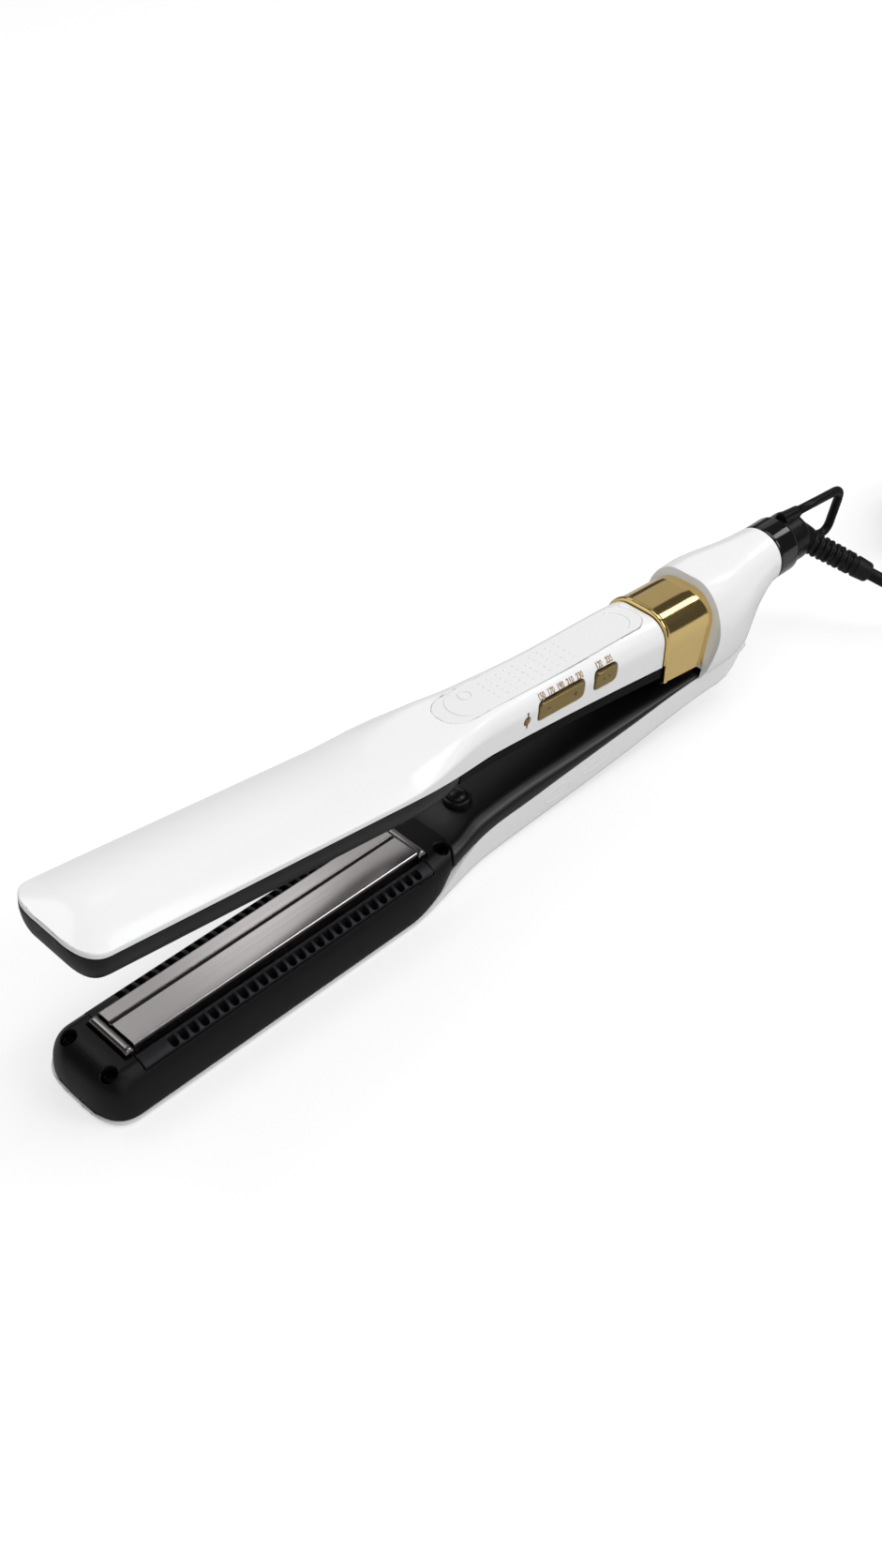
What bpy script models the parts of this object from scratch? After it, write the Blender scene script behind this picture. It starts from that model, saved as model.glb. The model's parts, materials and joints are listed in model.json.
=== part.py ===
"""Hair straightener: two hinged arms with floating hot plates, a gold hinge band and a swivel cord outlet.

The tool lies along X with its tip at -X, its keys on the -Y side and its lower arm on the ground.
The arms are modelled closed, and the upper arm hangs on a pivot that opens it to its sprung rest angle.
"""

import math

import bmesh
import bpy
from mathutils import Matrix, Vector

MM = 0.001

# Lengths along the tool, from the tip backwards, in millimetres
HEAD_LENGTH = 110.0
NECK_LENGTH = 38.0
HANDLE_LENGTH = 78.0
BAND_LENGTH = 27.0
TAIL_LENGTH = 37.0
COLLAR_LENGTH = 9.7
HOUSING_BEHIND_PLATE = 13.5
TRAY_UNDER_TAIL = 16.5
HOOD_DEPTH = 6.5

# Half widths of the tool in plan
HEAD_HALF_WIDTH = 17.5
HANDLE_HALF_WIDTH = 12.0
BAND_HALF_WIDTH = 13.0
HOOD_HALF_WIDTH = 16.4
COLLAR_RADIUS = 10.0
LOWER_TIP_RADIUS = 10.0
UPPER_TIP_RADIUS = 7.0
UPPER_TIP_AHEAD = 2.5

# Heights over the ground, arms closed
CLOSE_PLANE = 17.3
HOUSING_SETBACK = 2.8
HEAD_BORDER = 1.3
HANDLE_BORDER_RISE = 2.3
UPPER_HEAD_BORDER = 31.0
HANDLE_BORDER_FRONT = 10.9
HANDLE_BORDER_REAR = 15.2
INNER_COVER_CROWN = 2.8
UPPER_BORDER_HANDLE = 28.0
UPPER_INNER_FACE = 20.6
UPPER_HEAD_TOP = 35.6
KEY_CENTRE_HEIGHT = 35.1
TOP_ABOVE_KEYS = 10.1
BAND_PROUD = 1.4
BAND_LEAN = 0.11
BAND_BOTTOM = 22.8
HOOD_ABOVE_BAND = 2.6
TAIL_RISE = 8.3
TAIL_SWEEP = 9.2
COLLAR_HEIGHT = 38.7
OPEN_ANGLE = 7.9
HINGE_HEIGHT = 20.0
HINGE_BACK_FROM_BAND_FRONT = 20.5

# Rounds of the mouldings
TRAY_ROUND = 2.6
HOUSING_SHOULDER = 7.0
TIP_DROP = 4.0
UPPER_TIP_DROP = 2.4
COVER_SHOULDER = 5.0
BAND_SIDE_FLAT = 3.0
BAND_ROUND = 10.5

# Walls and clearances
WALL = 2.0
SHELL_EXTRA = 0.2
FLOOR = 1.6
BAND_WALL = 1.4
GAP = 0.3
HOOD_CLEARANCE = 0.7
WINDOW_CLEARANCE = 0.5

# Hot plates and what carries them
PLATE_START = 16.0
PLATE_LENGTH = 105.0
PLATE_HALF_WIDTH = 7.9
PLATE_GROOVE_WIDTH = 1.0
PLATE_GROOVE_DEPTH = 0.8
PLATE_GROOVE_OFFSET = 2.5
PLATE_FLANGE = 1.1
PLATE_CLOSED_GAP = 0.3
CLIP_WIDTH = 2.0
CLIP_DROP = 0.6
HOUSING_ROOF = 3.0
HEATER_LENGTH = 92.0
HEATER_HALF_WIDTH = 6.0
CARRIER_FLOOR = 1.8
CUSHION_RADIUS = 5.0
CUSHION_SPACING = 58.0

# Vent combs beside each plate
COMB_START = 23.0
COMB_SLOTS = 27
COMB_SLOT_WIDTH = 2.0
COMB_TOOTH_WIDTH = 1.5
COMB_INNER_Y = 10.5
COMB_OUTER_Y = 13.5
COMB_DEPTH = 4.6
COMB_SLOT_DEPTH = 3.0
COMB_SLOPE = 1.8

# Fasteners
SCREW_SIDE = 9.0
SCREW_FRONT_X = 6.4
SCREW_REAR_BACK_FROM_PLATE = 8.7
SCREW_HEAD_RADIUS = 2.0
SCREW_SHANK_RADIUS = 1.1
SCREW_RECESS = 3.6

# Bumper on the lower inner cover
BUMPER_BACK_FROM_NECK = 33.5
BUMPER_RADIUS = 3.3
BUMPER_COLLAR_RADIUS = 5.2

# Hinge
PIN_RADIUS = 2.0
KNUCKLE_RADIUS = 4.6
KNUCKLE_HALF_WIDTH = 4.8
EAR_THICKNESS = 2.0
SPRING_TURNS = 3
SPRING_WIRE_RADIUS = 0.5
SPRING_MEAN_RADIUS = 3.4
SPRING_PITCH = 1.2

# Keys on the near side of the upper handle
WIDE_KEY_LENGTH = 18.8
SMALL_KEY_LENGTH = 9.0
KEY_HEIGHT = 5.2
KEY_CORNER = 1.4
KEY_TILT = 0.05
WIDE_KEY_BACK_FROM_HANDLE = 27.4
KEY_SPACING = 20.4
KEY_THICKNESS = 3.4
KEY_PROUD = 0.4
KEY_CLEARANCE = 0.5
KEY_TRAVEL = 1.2
INDICATOR_AHEAD_OF_KEY = 14.6
INDICATOR_RADIUS = 0.9
INDICATOR_BELOW_KEYS = 1.6
SWITCH_SPACING = 12.0
SWITCH_HALF_WIDTH = 2.0
BOARD_BEHIND_WALL = 7.4
BOARD_THICKNESS = 1.6
BOARD_INSET = 8.0

# Grip panel let into the top of the upper handle
PANEL_FRONT_AHEAD_OF_HANDLE = 14.0
PANEL_LENGTH = 87.0
PANEL_HALF_WIDTH = 7.0
PANEL_END_HALF_WIDTH = 1.0
PANEL_DEPTH = 1.0
PANEL_SUNK = 0.05

# Swivel, hanging loop, strain relief, cord and plug
STEM_RADIUS = 5.0
STEM_LENGTH = 16.0
STEM_FLANGE = 1.0
STEM_FLANGE_LENGTH = 3.0
SWIVEL_RADIUS = 8.8
SWIVEL_LENGTH = 10.0
LOOP_ROD_RADIUS = 1.6
LOOP_REACH = 37.32
LOOP_BOSS_LENGTH = 8.0
LOOP_BEND_CUT = 4.0
RELIEF_RADIUS = 3.6
RELIEF_LENGTH = 24.0
RELIEF_RIBS = 8
RELIEF_GROOVE = 0.8
RELIEF_PLAIN_END = 6.0
ELBOW_RADIUS = 4.2
ELBOW_LENGTH = 12.0
CORD_RADIUS = 2.25
COIL_OUTER_RADIUS = 32.2
COIL_TURNS = 3
COIL_LAYERS = 4
COIL_STEP = 5.4
COIL_LAYER_GAP = 0.7
COIL_BEHIND_COLLAR = 112.0
COIL_ASIDE = 15.0
COIL_POINTS = 24
TIE_THICKNESS = 1.0
TIE_SLACK = 0.4
TIE_WIDTH = 4.0
PLUG_LENGTH = 26.0
PLUG_HALF_WIDTH = 12.0
PLUG_THICKNESS = 12.0
BLADE_LENGTH = 17.0
BLADE_SPACING = 12.7
BLADE_HALF_HEIGHT = 3.2
BLADE_HALF_THICKNESS = 0.75

# Places that follow from the lengths above
NECK_FRONT = HEAD_LENGTH
HANDLE_FRONT = NECK_FRONT + NECK_LENGTH
BAND_FRONT = HANDLE_FRONT + HANDLE_LENGTH
HOOD_FRONT = BAND_FRONT + BAND_LENGTH
COLLAR_FRONT = HOOD_FRONT + TAIL_LENGTH
COLLAR_REAR = COLLAR_FRONT + GAP + COLLAR_LENGTH
ORIGIN_X = (COLLAR_REAR + LOOP_REACH) / 2
HINGE_X = BAND_FRONT + HINGE_BACK_FROM_BAND_FRONT
PLATE_END = PLATE_START + PLATE_LENGTH
HOUSING_END = PLATE_END + HOUSING_BEHIND_PLATE
HOUSING_FACE = CLOSE_PLANE - HOUSING_SETBACK
PLATE_FACE = CLOSE_PLANE - PLATE_CLOSED_GAP / 2
CAVITY_ROOF = HOUSING_FACE - HOUSING_ROOF
TRAY_END = HOOD_FRONT + TRAY_UNDER_TAIL
HOOD_END = HOOD_FRONT + HOOD_DEPTH
UPPER_HANDLE_TOP = KEY_CENTRE_HEIGHT + TOP_ABOVE_KEYS
BAND_TOP = UPPER_HANDLE_TOP + BAND_PROUD
HOOD_TOP = BAND_TOP + HOOD_ABOVE_BAND
HANDLE_BORDER_MIDDLE = HANDLE_BORDER_FRONT + HANDLE_BORDER_RISE
ARC_STEPS = 5


def clear_scene():
    for item in list(bpy.data.objects):
        bpy.data.objects.remove(item, do_unlink=True)


def material(name, colour, roughness, metallic=0.0):
    made = bpy.data.materials.new(name)
    made.use_nodes = True
    shader = made.node_tree.nodes["Principled BSDF"]
    shader.inputs["Base Color"].default_value = (*colour, 1.0)
    shader.inputs["Roughness"].default_value = roughness
    shader.inputs["Metallic"].default_value = metallic
    return made


def point(x, y, z):
    """A place on the tool, in millimetres from the tip, as metres in the part's frame."""
    return Vector(((x - ORIGIN_X) * MM, y * MM, z * MM))


def as_lower(z):
    return z


def as_upper(z):
    """The height that mirrors z in the plane where the arms close."""
    return 2 * CLOSE_PLANE - z


def finish_mesh(name, mesh_data, finish, pivot=None, smooth_angle=35.0):
    """Turns a bmesh into a named object with its own material, hung on a pivot if one is given."""
    bmesh.ops.remove_doubles(mesh_data, verts=mesh_data.verts, dist=1e-7)
    bmesh.ops.recalc_face_normals(mesh_data, faces=mesh_data.faces)
    mesh = bpy.data.meshes.new(name)
    mesh_data.to_mesh(mesh)
    mesh_data.free()
    mesh.shade_smooth()
    mesh.set_sharp_from_angle(angle=math.radians(smooth_angle))
    made = bpy.data.objects.new(name, mesh)
    bpy.context.collection.objects.link(made)
    hang(made, pivot)
    if finish is not None:
        mesh.materials.append(material(name + "_finish", *finish))
    return made


def hang(item, pivot):
    if pivot is not None:
        item.parent = pivot
        item.matrix_parent_inverse = Matrix.Translation(-pivot.location)


def shape_with(target, tool, operation='DIFFERENCE'):
    tool.hide_render = True
    tool.display_type = 'WIRE'
    change = target.modifiers.new(tool.name, 'BOOLEAN')
    change.operation = operation
    change.solver = 'EXACT'
    change.object = tool


def loft(name, rings, finish=None, pivot=None):
    """A closed solid through rings of points, each ring with the same count."""
    made = bmesh.new()
    rows = [[made.verts.new(place) for place in ring] for ring in rings]
    count = len(rows[0])
    for near, far in zip(rows, rows[1:]):
        for index in range(count):
            after = (index + 1) % count
            made.faces.new((near[index], near[after], far[after], far[index]))
    made.faces.new(rows[0])
    made.faces.new(rows[-1])
    return finish_mesh(name, made, finish, pivot)


def corner(centre_y, centre_z, radius_y, radius_z, start, steps=ARC_STEPS):
    """A quarter of an ellipse from the start angle, in degrees, anticlockwise."""
    if radius_y <= 0 or radius_z <= 0:
        return [(centre_y, centre_z)]
    turns = [math.radians(start + 90.0 * step / steps) for step in range(steps + 1)]
    return [(centre_y + radius_y * math.cos(a), centre_z + radius_z * math.sin(a)) for a in turns]


def section(half, low, high, low_round=(0, 0), high_round=(0, 0)):
    """A cross section between two heights, with round corners below and above."""
    low_y, low_z = low_round
    high_y, high_z = high_round
    outline = corner(half - low_y, low + low_z, low_y, low_z, -90)
    outline += corner(half - high_y, high - high_z, high_y, high_z, 0)
    outline += corner(-half + high_y, high - high_z, high_y, high_z, 90)
    outline += corner(-half + low_y, low + low_z, low_y, low_z, 180)
    return outline


def across(x, outline, height=as_lower, lean=0.0, lean_from=0.0):
    """Places a cross section at x, leaned back with height where the piece is cut on the slant."""
    return [point(x - lean * (z - lean_from), y, height(z)) for y, z in outline]


def along(x, *stations):
    """A smooth curve through stations of (x, value), level beyond the first and the last."""
    if x <= stations[0][0]:
        return stations[0][1]
    if x >= stations[-1][0]:
        return stations[-1][1]
    slopes = [0.0]
    for before, here, after in zip(stations, stations[1:], stations[2:]):
        slopes.append((after[1] - before[1]) / (after[0] - before[0]))
    slopes.append(0.0)
    for index, (here, after) in enumerate(zip(stations, stations[1:])):
        if x <= after[0]:
            span = after[0] - here[0]
            t = (x - here[0]) / span
            rise = after[1] - here[1]
            start = slopes[index] * span
            end = slopes[index + 1] * span
            cubic = (start + end - 2 * rise) * t ** 3 + (3 * rise - 2 * start - end) * t ** 2
            return here[1] + start * t + cubic


def block(name, low, high, finish=None, pivot=None, height=as_lower):
    """A plain rectangular solid between two corners in millimetres."""
    outline = [(low[1], low[2]), (high[1], low[2]), (high[1], high[2]), (low[1], high[2])]
    return loft(name, [across(low[0], outline, height), across(high[0], outline, height)], finish, pivot)


def turned(name, profile, origin, axis, finish=None, pivot=None, sides=20):
    """A solid turned about an axis from (along, radius) pairs; the ends are flat discs."""
    axis = Vector(axis).normalized()
    side = axis.orthogonal().normalized()
    other = axis.cross(side)
    rings = []
    for reach, radius in profile:
        ring = []
        for index in range(sides):
            angle = 2 * math.pi * index / sides
            outward = side * math.cos(angle) + other * math.sin(angle)
            ring.append(Vector(origin) + (axis * reach + outward * radius) * MM)
        rings.append(ring)
    return loft(name, rings, finish, pivot)


def extruded(name, outline, low_y, high_y, finish=None, pivot=None):
    """A side outline of (x, z) pairs in millimetres, given thickness across the tool."""
    rings = [[point(x, y, z) for x, z in outline] for y in (low_y, high_y)]
    return loft(name, rings, finish, pivot)


def tube(name, places, radius, finish, resolution, pivot=None):
    """A round rod or cord along places in millimetres, closed at both ends."""
    curve = bpy.data.curves.new(name, 'CURVE')
    curve.dimensions = '3D'
    curve.bevel_depth = radius * MM
    curve.bevel_resolution = resolution
    curve.use_fill_caps = True
    spline = curve.splines.new('POLY')
    spline.points.add(len(places) - 1)
    for knot, place in zip(spline.points, places):
        knot.co = (*point(*place), 1.0)
    made = bpy.data.objects.new(name, curve)
    bpy.context.collection.objects.link(made)
    curve.materials.append(material(name + "_finish", *finish))
    hang(made, pivot)
    return made


def smooth_route(knots, per_span):
    """Points on a smooth curve through hand-picked knots."""
    ends = [knots[0] * 2 - knots[1], *knots, knots[-1] * 2 - knots[-2]]
    route = []
    for index in range(1, len(ends) - 2):
        a, b, c, d = ends[index - 1:index + 3]
        for step in range(per_span):
            t = step / per_span
            place = 2 * b + (c - a) * t + (2 * a - 5 * b + 4 * c - d) * t ** 2
            place += (3 * b - a - 3 * c + d) * t ** 3
            route.append(place / 2)
    route.append(knots[-1])
    return route


# Finishes as colour, roughness and metallic
WHITE = ((0.90, 0.90, 0.90), 0.22)
BLACK = ((0.018, 0.018, 0.020), 0.45)
COMB_BLACK = ((0.012, 0.012, 0.013), 0.55)
GLOSS_BLACK = ((0.008, 0.008, 0.009), 0.08)
RUBBER = ((0.020, 0.020, 0.021), 0.70)
GOLD = ((0.66, 0.45, 0.14), 0.16, 1.0)
KEY_GOLD = ((0.50, 0.35, 0.12), 0.35, 1.0)
PLATE_METAL = ((0.56, 0.52, 0.51), 0.22, 1.0)
STEEL = ((0.55, 0.55, 0.56), 0.30, 1.0)
CERAMIC = ((0.80, 0.78, 0.72), 0.60)
SILICONE = ((0.55, 0.16, 0.10), 0.65)
BOARD_GREEN = ((0.03, 0.16, 0.07), 0.45)
AMBER = ((0.35, 0.16, 0.03), 0.25)
PANEL_WHITE = ((0.86, 0.86, 0.86), 0.38)


def plan_width(x):
    """Half width of both arms in plan, before the tip is rounded."""
    return along(x, (NECK_FRONT, HEAD_HALF_WIDTH), (HANDLE_FRONT, HANDLE_HALF_WIDTH),
                 (BAND_FRONT, HANDLE_HALF_WIDTH + 0.2), (HOOD_FRONT - 10, HANDLE_HALF_WIDTH + 0.8),
                 (HOOD_FRONT, HOOD_HALF_WIDTH - 2.6), (HOOD_FRONT + 7, HOOD_HALF_WIDTH - 1.8),
                 (TRAY_END, HOOD_HALF_WIDTH - 2.6))


def tip_share(x, tip=0.0, radius=LOWER_TIP_RADIUS):
    """Grows from 0 at the tip to 1 where the round of the tip ends, along a quarter circle."""
    left = max(0.0, 1 - (x - tip) / radius)
    return math.sqrt(max(0.0, 1 - left ** 2))


def lower_tip(x):
    return tip_share(x)


def upper_tip(x):
    return tip_share(x, -UPPER_TIP_AHEAD, UPPER_TIP_RADIUS)


def lower_half(x):
    return plan_width(x) - LOWER_TIP_RADIUS * (1 - lower_tip(x))


def upper_half(x):
    return plan_width(x) - UPPER_TIP_RADIUS * (1 - upper_tip(x))


def lower_bottom(x):
    front = HANDLE_FRONT
    rise = TAIL_RISE * max(0.0, (min(x, HOOD_FRONT) - front) / (HOOD_FRONT - front)) ** 2
    sweep = along(x, (HOOD_FRONT, 0.0), (HOOD_FRONT + 8, TAIL_SWEEP * 0.26), (TRAY_END, TAIL_SWEEP))
    return rise + sweep + (1 - lower_tip(x)) * HEAD_BORDER * 0.5


def lower_border(x):
    """Height of the seam between the white lower shell and what sits on it."""
    return along(x, (NECK_FRONT - 2, HEAD_BORDER), (HANDLE_FRONT - 2, HANDLE_BORDER_FRONT),
                 (HANDLE_FRONT + 40, HANDLE_BORDER_MIDDLE), (HOOD_FRONT, HANDLE_BORDER_REAR),
                 (TRAY_END, HANDLE_BORDER_REAR + 2.8))


def lower_inner(x):
    return along(x, (HANDLE_FRONT - 4, HANDLE_BORDER_FRONT + INNER_COVER_CROWN),
                 (HANDLE_FRONT + 40, HANDLE_BORDER_MIDDLE + INNER_COVER_CROWN),
                 (HOOD_FRONT, HANDLE_BORDER_REAR + 1.6))


def upper_border(x):
    """Height of the seam between the white upper shell and the black inner side, arms closed."""
    return along(x, (NECK_FRONT, UPPER_HEAD_BORDER), (HANDLE_FRONT - 6, UPPER_BORDER_HANDLE),
                 (BAND_FRONT, UPPER_BORDER_HANDLE + 0.8))


def upper_top(x):
    crown = along(x, (NECK_FRONT - 8, UPPER_HEAD_TOP), (HANDLE_FRONT - 8, UPPER_HANDLE_TOP - 5.4),
                  (HANDLE_FRONT + 30, UPPER_HANDLE_TOP - 3.2), (BAND_FRONT, UPPER_HANDLE_TOP))
    return crown - (1 - upper_tip(x)) * UPPER_TIP_DROP


def upper_edge(x):
    """Round of the top edges of the upper shell: wide across, lower at the head than at the handle."""
    wide = along(x, (NECK_FRONT, 9.0), (HANDLE_FRONT, 5.6), (BAND_FRONT, 8.0))
    tall = along(x, (NECK_FRONT, 4.0), (HANDLE_FRONT, 5.6), (BAND_FRONT, 8.0))
    return min(wide, upper_half(x) * 0.7), min(tall, upper_top(x) - upper_border(x) - 0.3)


def tail_seam(x):
    """Height of the side seam between the two tail shells, which rises to the middle of the collar."""
    return along(x, (HOOD_FRONT, COLLAR_HEIGHT - 7.7), (HOOD_FRONT + 20, COLLAR_HEIGHT - 4.1),
                 (COLLAR_FRONT, COLLAR_HEIGHT))


def tail_half(x):
    return along(x, (HOOD_FRONT, HOOD_HALF_WIDTH), (HOOD_FRONT + 7, HOOD_HALF_WIDTH),
                 (TRAY_END, HOOD_HALF_WIDTH - 2.0), (COLLAR_FRONT - 10, COLLAR_RADIUS + 1.6),
                 (COLLAR_FRONT, COLLAR_RADIUS))


def tail_low(x):
    """Underside of the tail: on the lower shell's seam at first, then sweeping up to the collar."""
    seat = lower_border(min(x, TRAY_END)) + GAP
    return along(x, (TRAY_END, seat), (COLLAR_FRONT - 11, COLLAR_HEIGHT - 13.7),
                 (COLLAR_FRONT, COLLAR_HEIGHT - COLLAR_RADIUS))


def tail_high(x):
    return along(x, (HOOD_FRONT, HOOD_TOP), (HOOD_FRONT + 20, HOOD_TOP - 0.5),
                 (COLLAR_FRONT, COLLAR_HEIGHT + COLLAR_RADIUS))


def tip_stations(tip, radius):
    return [tip + radius * (1 - math.cos(math.radians(a))) for a in (0, 25, 45, 65, 90)]


def lower_tip_stations():
    return tip_stations(0.0, LOWER_TIP_RADIUS)


def upper_tip_stations():
    return tip_stations(-UPPER_TIP_AHEAD, UPPER_TIP_RADIUS)


def span_stations(start, end, count):
    return [start + (end - start) * step / count for step in range(count + 1)]


def neck_stations():
    return span_stations(NECK_FRONT, HANDLE_FRONT, 8)


def build_lower_shell():
    """White tray that is the outside of the lower arm and runs under the tail."""
    stations = lower_tip_stations() + neck_stations() + span_stations(HANDLE_FRONT, TRAY_END, 10)[1:]
    rings = []
    for x in stations:
        half, low, high = lower_half(x), lower_bottom(x), lower_border(x)
        edge = TRAY_ROUND, min(TRAY_ROUND + 0.2, (high - low) * 0.7)
        rings.append(across(x, section(half, low, high, edge)))
    shell = loft("lower_outer_shell", rings, WHITE)
    hollow = []
    for x in neck_stations() + span_stations(HANDLE_FRONT, HOOD_FRONT + 4, 7)[1:]:
        half, low = lower_half(x) - WALL, lower_bottom(x) + FLOOR
        hollow.append(across(x, section(half, low, CLOSE_PLANE + 12, (1.5, 1.0))))
    shape_with(shell, loft("lower_shell_hollow", hollow))
    return shell


def build_head(side, height, pivot):
    """Head of one arm: housing, vent combs, screws, and the floating plate with its heater."""
    housing = build_head_housing(side, height, pivot)
    for name, sign in (("near", -1), ("far", 1)):
        build_comb(side, name, sign, housing, height, pivot)
    build_screws(side, housing, height, pivot)
    build_plate(side, height, pivot)


def build_head_housing(side, height, pivot):
    """Black heat-proof moulding round the plate, open below for the heater stack."""
    lower = height is as_lower
    tip = lower_tip_stations() if lower else upper_tip_stations()
    rings = []
    for x in tip + [x for x in neck_stations() if x < HOUSING_END - 1] + [HOUSING_END]:
        low = GAP + (lower_border(x) if lower else as_upper(upper_border(x)))
        high = HOUSING_FACE - (1 - (lower_tip(x) if lower else upper_tip(x))) * TIP_DROP
        half = lower_half(x) if lower else upper_half(x)
        shoulder = min(HOUSING_SHOULDER, half * 0.5), high - low - 0.5
        rings.append(across(x, section(half, low, high, (0, 0), shoulder), height))
    housing = loft(side + "_head_housing", rings, BLACK, pivot)
    start = PLATE_START - GAP - CLIP_WIDTH - WINDOW_CLEARANCE
    end = PLATE_END + GAP + CLIP_WIDTH + WINDOW_CLEARANCE
    flange = PLATE_HALF_WIDTH + PLATE_FLANGE + WINDOW_CLEARANCE
    window = PLATE_HALF_WIDTH + WINDOW_CLEARANCE
    outline = [(-flange, 0.0), (flange, 0.0), (flange, CAVITY_ROOF), (window, CAVITY_ROOF),
               (window, CLOSE_PLANE + 3), (-window, CLOSE_PLANE + 3), (-window, CAVITY_ROOF),
               (-flange, CAVITY_ROOF)]
    rings = [across(x, outline, height) for x in (start, end)]
    shape_with(housing, loft(side + "_heater_bay", rings, None, pivot))
    return housing


def build_comb(side, name, sign, housing, height, pivot):
    """Strip of vent slots let into the shoulder of the head: a base bar with a row of teeth."""
    floor = HOUSING_FACE - COMB_DEPTH
    pitch = COMB_SLOT_WIDTH + COMB_TOOTH_WIDTH
    length = COMB_SLOTS * pitch + COMB_TOOTH_WIDTH
    slot_floor = HOUSING_FACE - COMB_SLOT_DEPTH
    inner_top, outer_top = HOUSING_FACE - GAP, HOUSING_FACE - COMB_SLOPE
    made = bmesh.new()
    edges = []
    for y, top in ((COMB_INNER_Y, inner_top), (COMB_OUTER_Y, outer_top)):
        outline = [(COMB_START + length, floor), (COMB_START, floor)]
        for tooth in range(COMB_SLOTS + 1):
            begin = COMB_START + tooth * pitch
            outline += [(begin, top), (begin + COMB_TOOTH_WIDTH, top)]
            if tooth < COMB_SLOTS:
                outline += [(begin + COMB_TOOTH_WIDTH, slot_floor), (begin + pitch, slot_floor)]
        edges.append([made.verts.new(point(x, sign * y, height(z))) for x, z in outline])
    inner, outer = edges
    for index in range(len(inner)):
        after = (index + 1) % len(inner)
        made.faces.new((inner[index], inner[after], outer[after], outer[index]))
    made.faces.new(inner)
    made.faces.new(outer)
    finish_mesh(f"{side}_comb_{name}", made, COMB_BLACK, pivot, 20.0)
    low = (COMB_START - GAP, sign * (COMB_INNER_Y - GAP), floor - GAP)
    high = (COMB_START + length + GAP, sign * (COMB_OUTER_Y + GAP), CLOSE_PLANE + 3)
    shape_with(housing, block(f"{side}_comb_trough_{name}", low, high, None, pivot, height))


def build_screws(side, housing, height, pivot):
    """Four recessed screws that hold the head housing on its shell."""
    rear_x = PLATE_END + SCREW_REAR_BACK_FROM_PLATE
    seat = HOUSING_FACE - SCREW_RECESS
    up = Vector((0, 0, 1 if height is as_lower else -1))
    places = [(SCREW_FRONT_X, -SCREW_SIDE), (SCREW_FRONT_X, SCREW_SIDE),
              (rear_x, -SCREW_SIDE), (rear_x, SCREW_SIDE)]
    for number, (x, y) in enumerate(places, start=1):
        origin = point(x, y, height(seat))
        shank = SCREW_SHANK_RADIUS
        profile = [(-1.6, shank), (GAP, shank), (GAP, SCREW_HEAD_RADIUS), (1.5, SCREW_HEAD_RADIUS),
                   (1.9, SCREW_HEAD_RADIUS * 0.7)]
        turned(f"{side}_head_screw_{number}", profile, origin, up, STEEL, pivot, 12)
        bore = [(-1.9, shank + GAP), (0.0, shank + GAP), (0.0, SCREW_HEAD_RADIUS + GAP),
                (9.0, SCREW_HEAD_RADIUS + GAP)]
        shape_with(housing, turned(f"{side}_screw_bore_{number}", bore, origin, up, None, pivot, 16))


def build_plate(side, height, pivot):
    """Extruded hot plate with its groove, end clips, heater, carrier and silicone cushions."""
    half, flange = PLATE_HALF_WIDTH, PLATE_HALF_WIDTH + PLATE_FLANGE
    flange_top = CAVITY_ROOF - GAP
    flange_low = flange_top - 1.2
    chamfer = 0.8
    groove = PLATE_GROOVE_OFFSET - PLATE_GROOVE_WIDTH / 2, PLATE_GROOVE_OFFSET + PLATE_GROOVE_WIDTH / 2
    groove_floor = PLATE_FACE - PLATE_GROOVE_DEPTH
    outline = [(-flange, flange_low), (flange, flange_low), (flange, flange_top), (half, flange_top),
               (half, PLATE_FACE - chamfer), (half - chamfer, PLATE_FACE), (groove[1], PLATE_FACE),
               (groove[1], groove_floor), (groove[0], groove_floor), (groove[0], PLATE_FACE),
               (-half + chamfer, PLATE_FACE), (-half, PLATE_FACE - chamfer), (-half, flange_top),
               (-flange, flange_top)]
    rings = [across(x, outline, height) for x in (PLATE_START, PLATE_END)]
    loft(side + "_plate", rings, PLATE_METAL, pivot)

    clip_top = PLATE_FACE - CLIP_DROP
    clip = section(half, flange_low, clip_top, (0, 0), (1.2, 1.2))
    for name, x in (("front", PLATE_START - GAP - CLIP_WIDTH), ("rear", PLATE_END + GAP)):
        rings = [across(place, clip, height) for place in (x, x + CLIP_WIDTH)]
        loft(f"{side}_plate_clip_{name}", rings, PLATE_METAL, pivot)

    carrier_top = flange_low - GAP
    heater_low = carrier_top - 2.4
    carrier_low = heater_low - GAP - CARRIER_FLOOR
    wall = HEATER_HALF_WIDTH + GAP
    outer = wall + WALL
    outline = [(-outer, carrier_low), (outer, carrier_low), (outer, carrier_top), (wall, carrier_top),
               (wall, heater_low - GAP), (-wall, heater_low - GAP), (-wall, carrier_top),
               (-outer, carrier_top)]
    rings = [across(x, outline, height) for x in (PLATE_START, PLATE_END)]
    loft(side + "_plate_carrier", rings, CERAMIC, pivot)

    middle = (PLATE_START + PLATE_END) / 2
    low = (middle - HEATER_LENGTH / 2, -HEATER_HALF_WIDTH, heater_low)
    high = (middle + HEATER_LENGTH / 2, HEATER_HALF_WIDTH, carrier_top)
    block(side + "_heater", low, high, CERAMIC, pivot, height)

    lower = height is as_lower
    cushion_low = HEAD_BORDER + GAP if lower else as_upper(UPPER_HEAD_TOP) + WALL + GAP + SHELL_EXTRA
    up = Vector((0, 0, 1 if lower else -1))
    tall = carrier_low - GAP - cushion_low
    for name, x in (("front", middle - CUSHION_SPACING / 2), ("rear", middle + CUSHION_SPACING / 2)):
        profile = [(0, CUSHION_RADIUS), (tall * 0.5, CUSHION_RADIUS - 0.6), (tall, CUSHION_RADIUS)]
        origin = point(x, 0, height(cushion_low))
        turned(f"{side}_plate_cushion_{name}", profile, origin, up, SILICONE, pivot, 12)


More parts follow.
